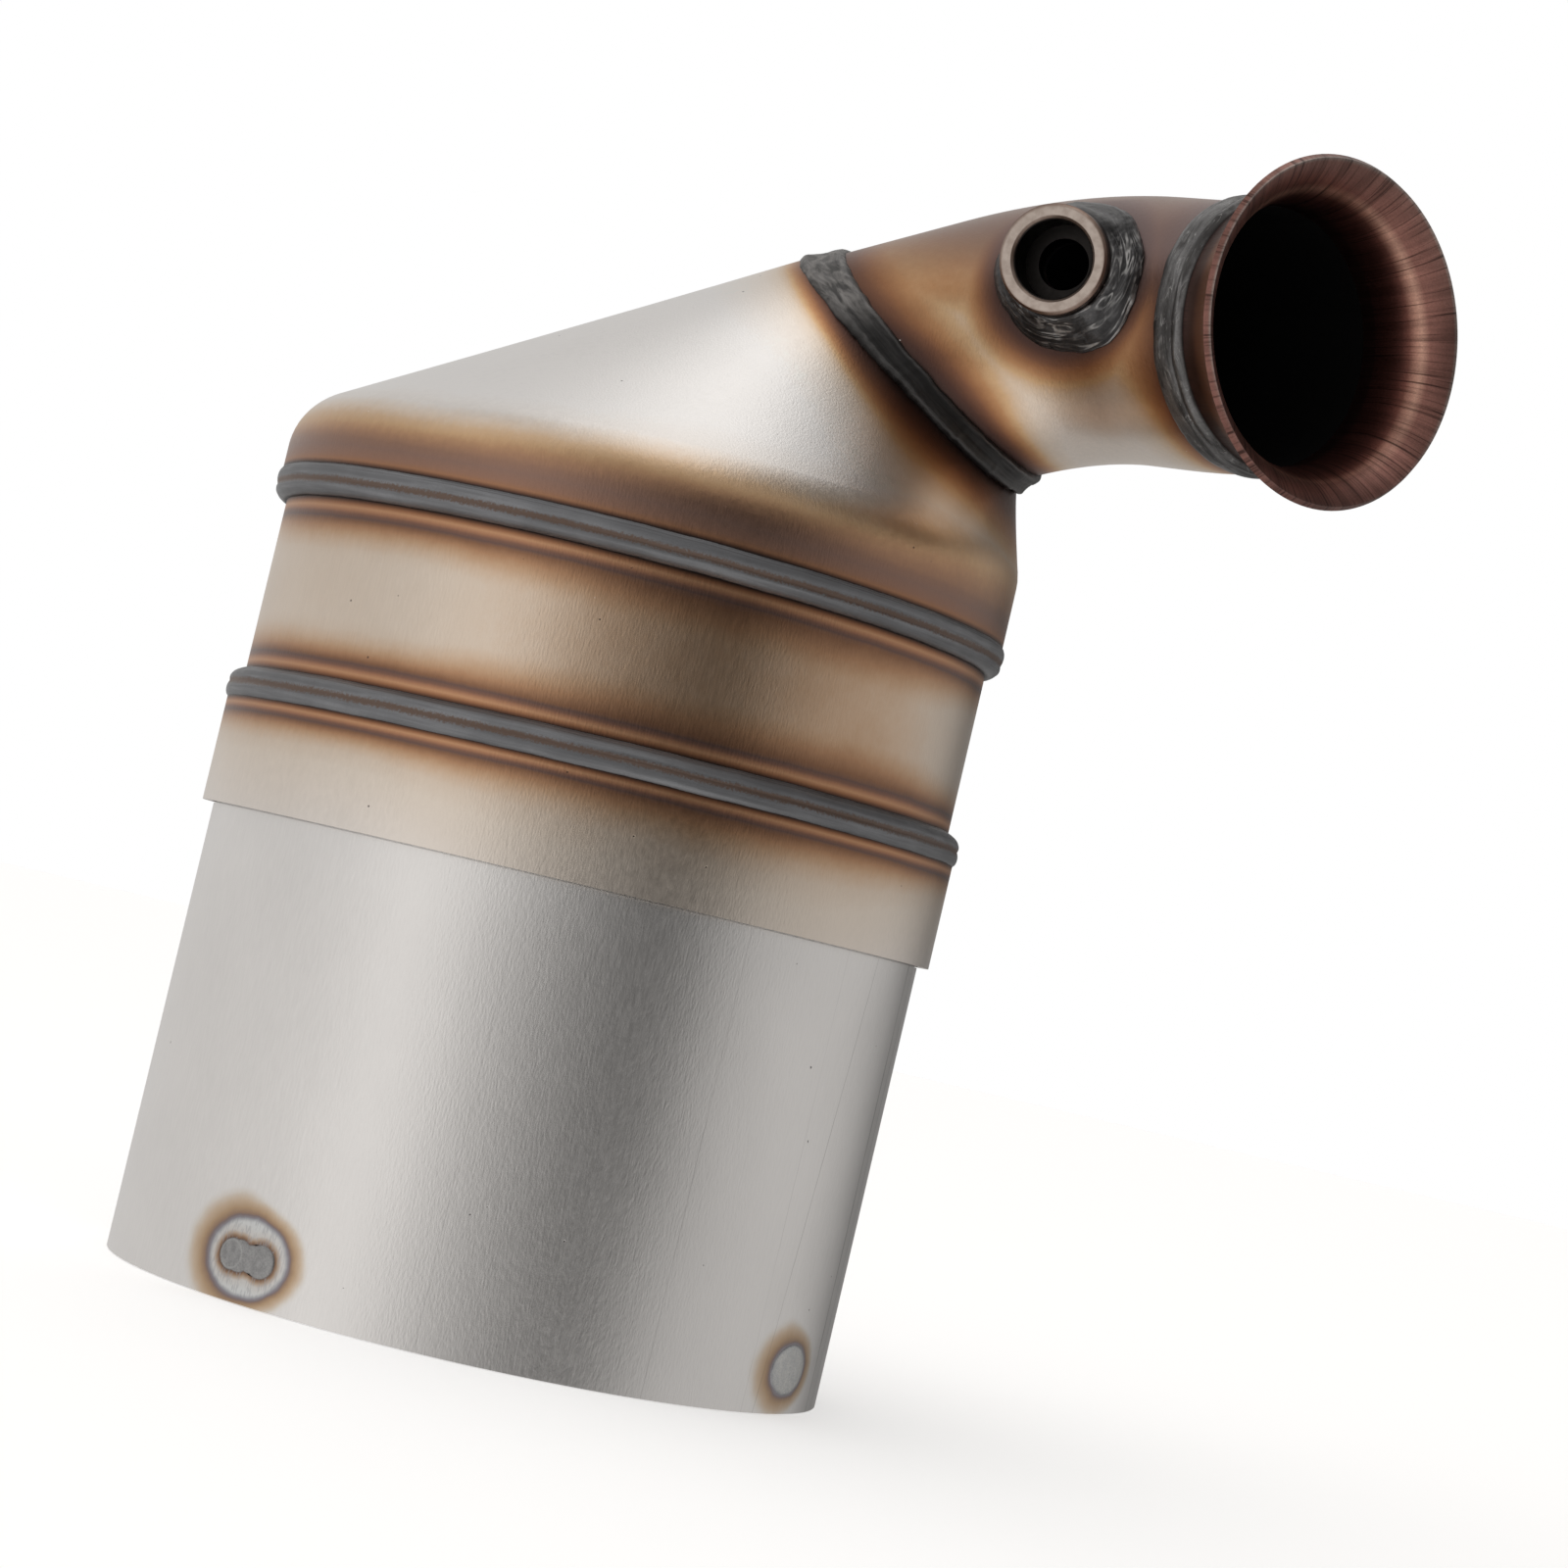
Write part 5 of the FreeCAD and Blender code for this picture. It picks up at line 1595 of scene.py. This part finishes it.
side_light, t, given, taken = named_group(
    "Light from the sides", [("Direction", VECTOR, (0, 0, 1))], [("Color", COLOUR)]
)
split = t.split(given["Direction"])
bearing = t.sum("ARCTAN2", split[1], split[0])
turn = t.sum("MULTIPLY_ADD", bearing, 0.5 / math.pi, 0.5)
tones = t.ramp(turn, warm_stops([((a + 180) / 360.0, v) for a, v in SIDE_LIGHT]))
side_light.links.new(tones, taken["Color"])


def from_sides(t, direction):
    """The sides' light for a direction."""
    node = t.tree.nodes.new("ShaderNodeGroup")
    node.node_tree = side_light
    t.tree.links.new(direction, node.inputs["Direction"])
    return node.outputs["Color"]


world = bpy.data.worlds.new("studio")
bpy.context.scene.world = world
world.use_nodes = True
world.node_tree.nodes.clear()
t = Tree(world.node_tree)
ray = t.add("ShaderNodeTexCoord", out="Generated")
split = t.split(ray)
wall = t.ramp(t.range(split[1], -0.5, 0.3), warm_stops([(0.0, 0.55), (1.0, 0.72)]))
card = t.sum("MULTIPLY", t.range(split[0], 0.20, 0.55), t.range(split[1], -0.60, -0.30))
wall = t.mix(card, wall, (0.12, 0.118, 0.116))
sky = t.mix(t.range(split[2], 0.22, 0.54), from_sides(t, ray), wall)
box = t.ramp(t.range(split[0], -0.6, 0.4, smooth=False), warm_stops(BOX_LIGHT))
sky = t.mix(t.range(split[2], 0.74, 0.92), sky, box)
behind = t.range(t.sum("MULTIPLY_ADD", split[0], 0.6, split[1]), -0.25, 0.55)
ground = t.ramp(behind, warm_stops([(0.0, 0.92), (1.0, 0.38)]))
sky = t.mix(t.range(split[2], -0.42, -0.12, 1.0, 0.0), sky, ground)
light = t.add("ShaderNodeBackground", {"Color": sky, "Strength": 1.0})
white = t.add("ShaderNodeBackground", {"Color": (1, 1, 1, 1), "Strength": 1.0})
seen = t.add("ShaderNodeLightPath", out="Is Camera Ray")
shown = t.add("ShaderNodeMixShader", {0: seen, 1: light, 2: white})
out = world.node_tree.nodes.new("ShaderNodeOutputWorld")
world.node_tree.links.new(shown, out.inputs["Surface"])

FLOOR_GAP = 0.2 * MM
floor_mesh = bpy.data.meshes.new("floor")
work = bmesh.new()
bmesh.ops.create_grid(work, x_segments=1, y_segments=1, size=4.0)
work.to_mesh(floor_mesh)
work.free()
floor = linked("floor", floor_mesh)
floor.location.z = cad_box[0][2] - FLOOR_GAP
floor_white, t = new_material("floor_white")
path = t.add("ShaderNodeLightPath").node.outputs
matt = t.add("ShaderNodeBsdfDiffuse", {"Color": (0.92, 0.915, 0.91, 1)})
glow = t.add("ShaderNodeEmission", {"Color": (1, 1, 1, 1), "Strength": 0.42})
lit = t.add("ShaderNodeAddShader", {0: matt, 1: glow})
clear = t.add("ShaderNodeBsdfTransparent")
first = t.add("ShaderNodeMixShader", {0: path["Is Glossy Ray"], 1: matt, 2: clear})
top = t.add("ShaderNodeMixShader", {0: path["Is Camera Ray"], 1: first, 2: lit})
under = t.add("ShaderNodeNewGeometry", out="Backfacing")
close_material(floor_white, t.add("ShaderNodeMixShader", {0: under, 1: top, 2: clear}))
floor.data.materials.append(floor_white)

key_data = bpy.data.lights.new("soft_key", "AREA")
key_data.shape = "RECTANGLE"
key_data.size = 0.9
key_data.size_y = 0.9
key_data.energy = 0.8
KEY_PLACE, KEY_TARGET = Vector((-0.9, -0.5, 1.1)), Vector((0.02, 0.0, 0.15))
key = linked("soft_key", key_data)
key.location = KEY_PLACE
key.rotation_euler = (KEY_TARGET - KEY_PLACE).to_track_quat("-Z", "Y").to_euler()
print("studio ready")
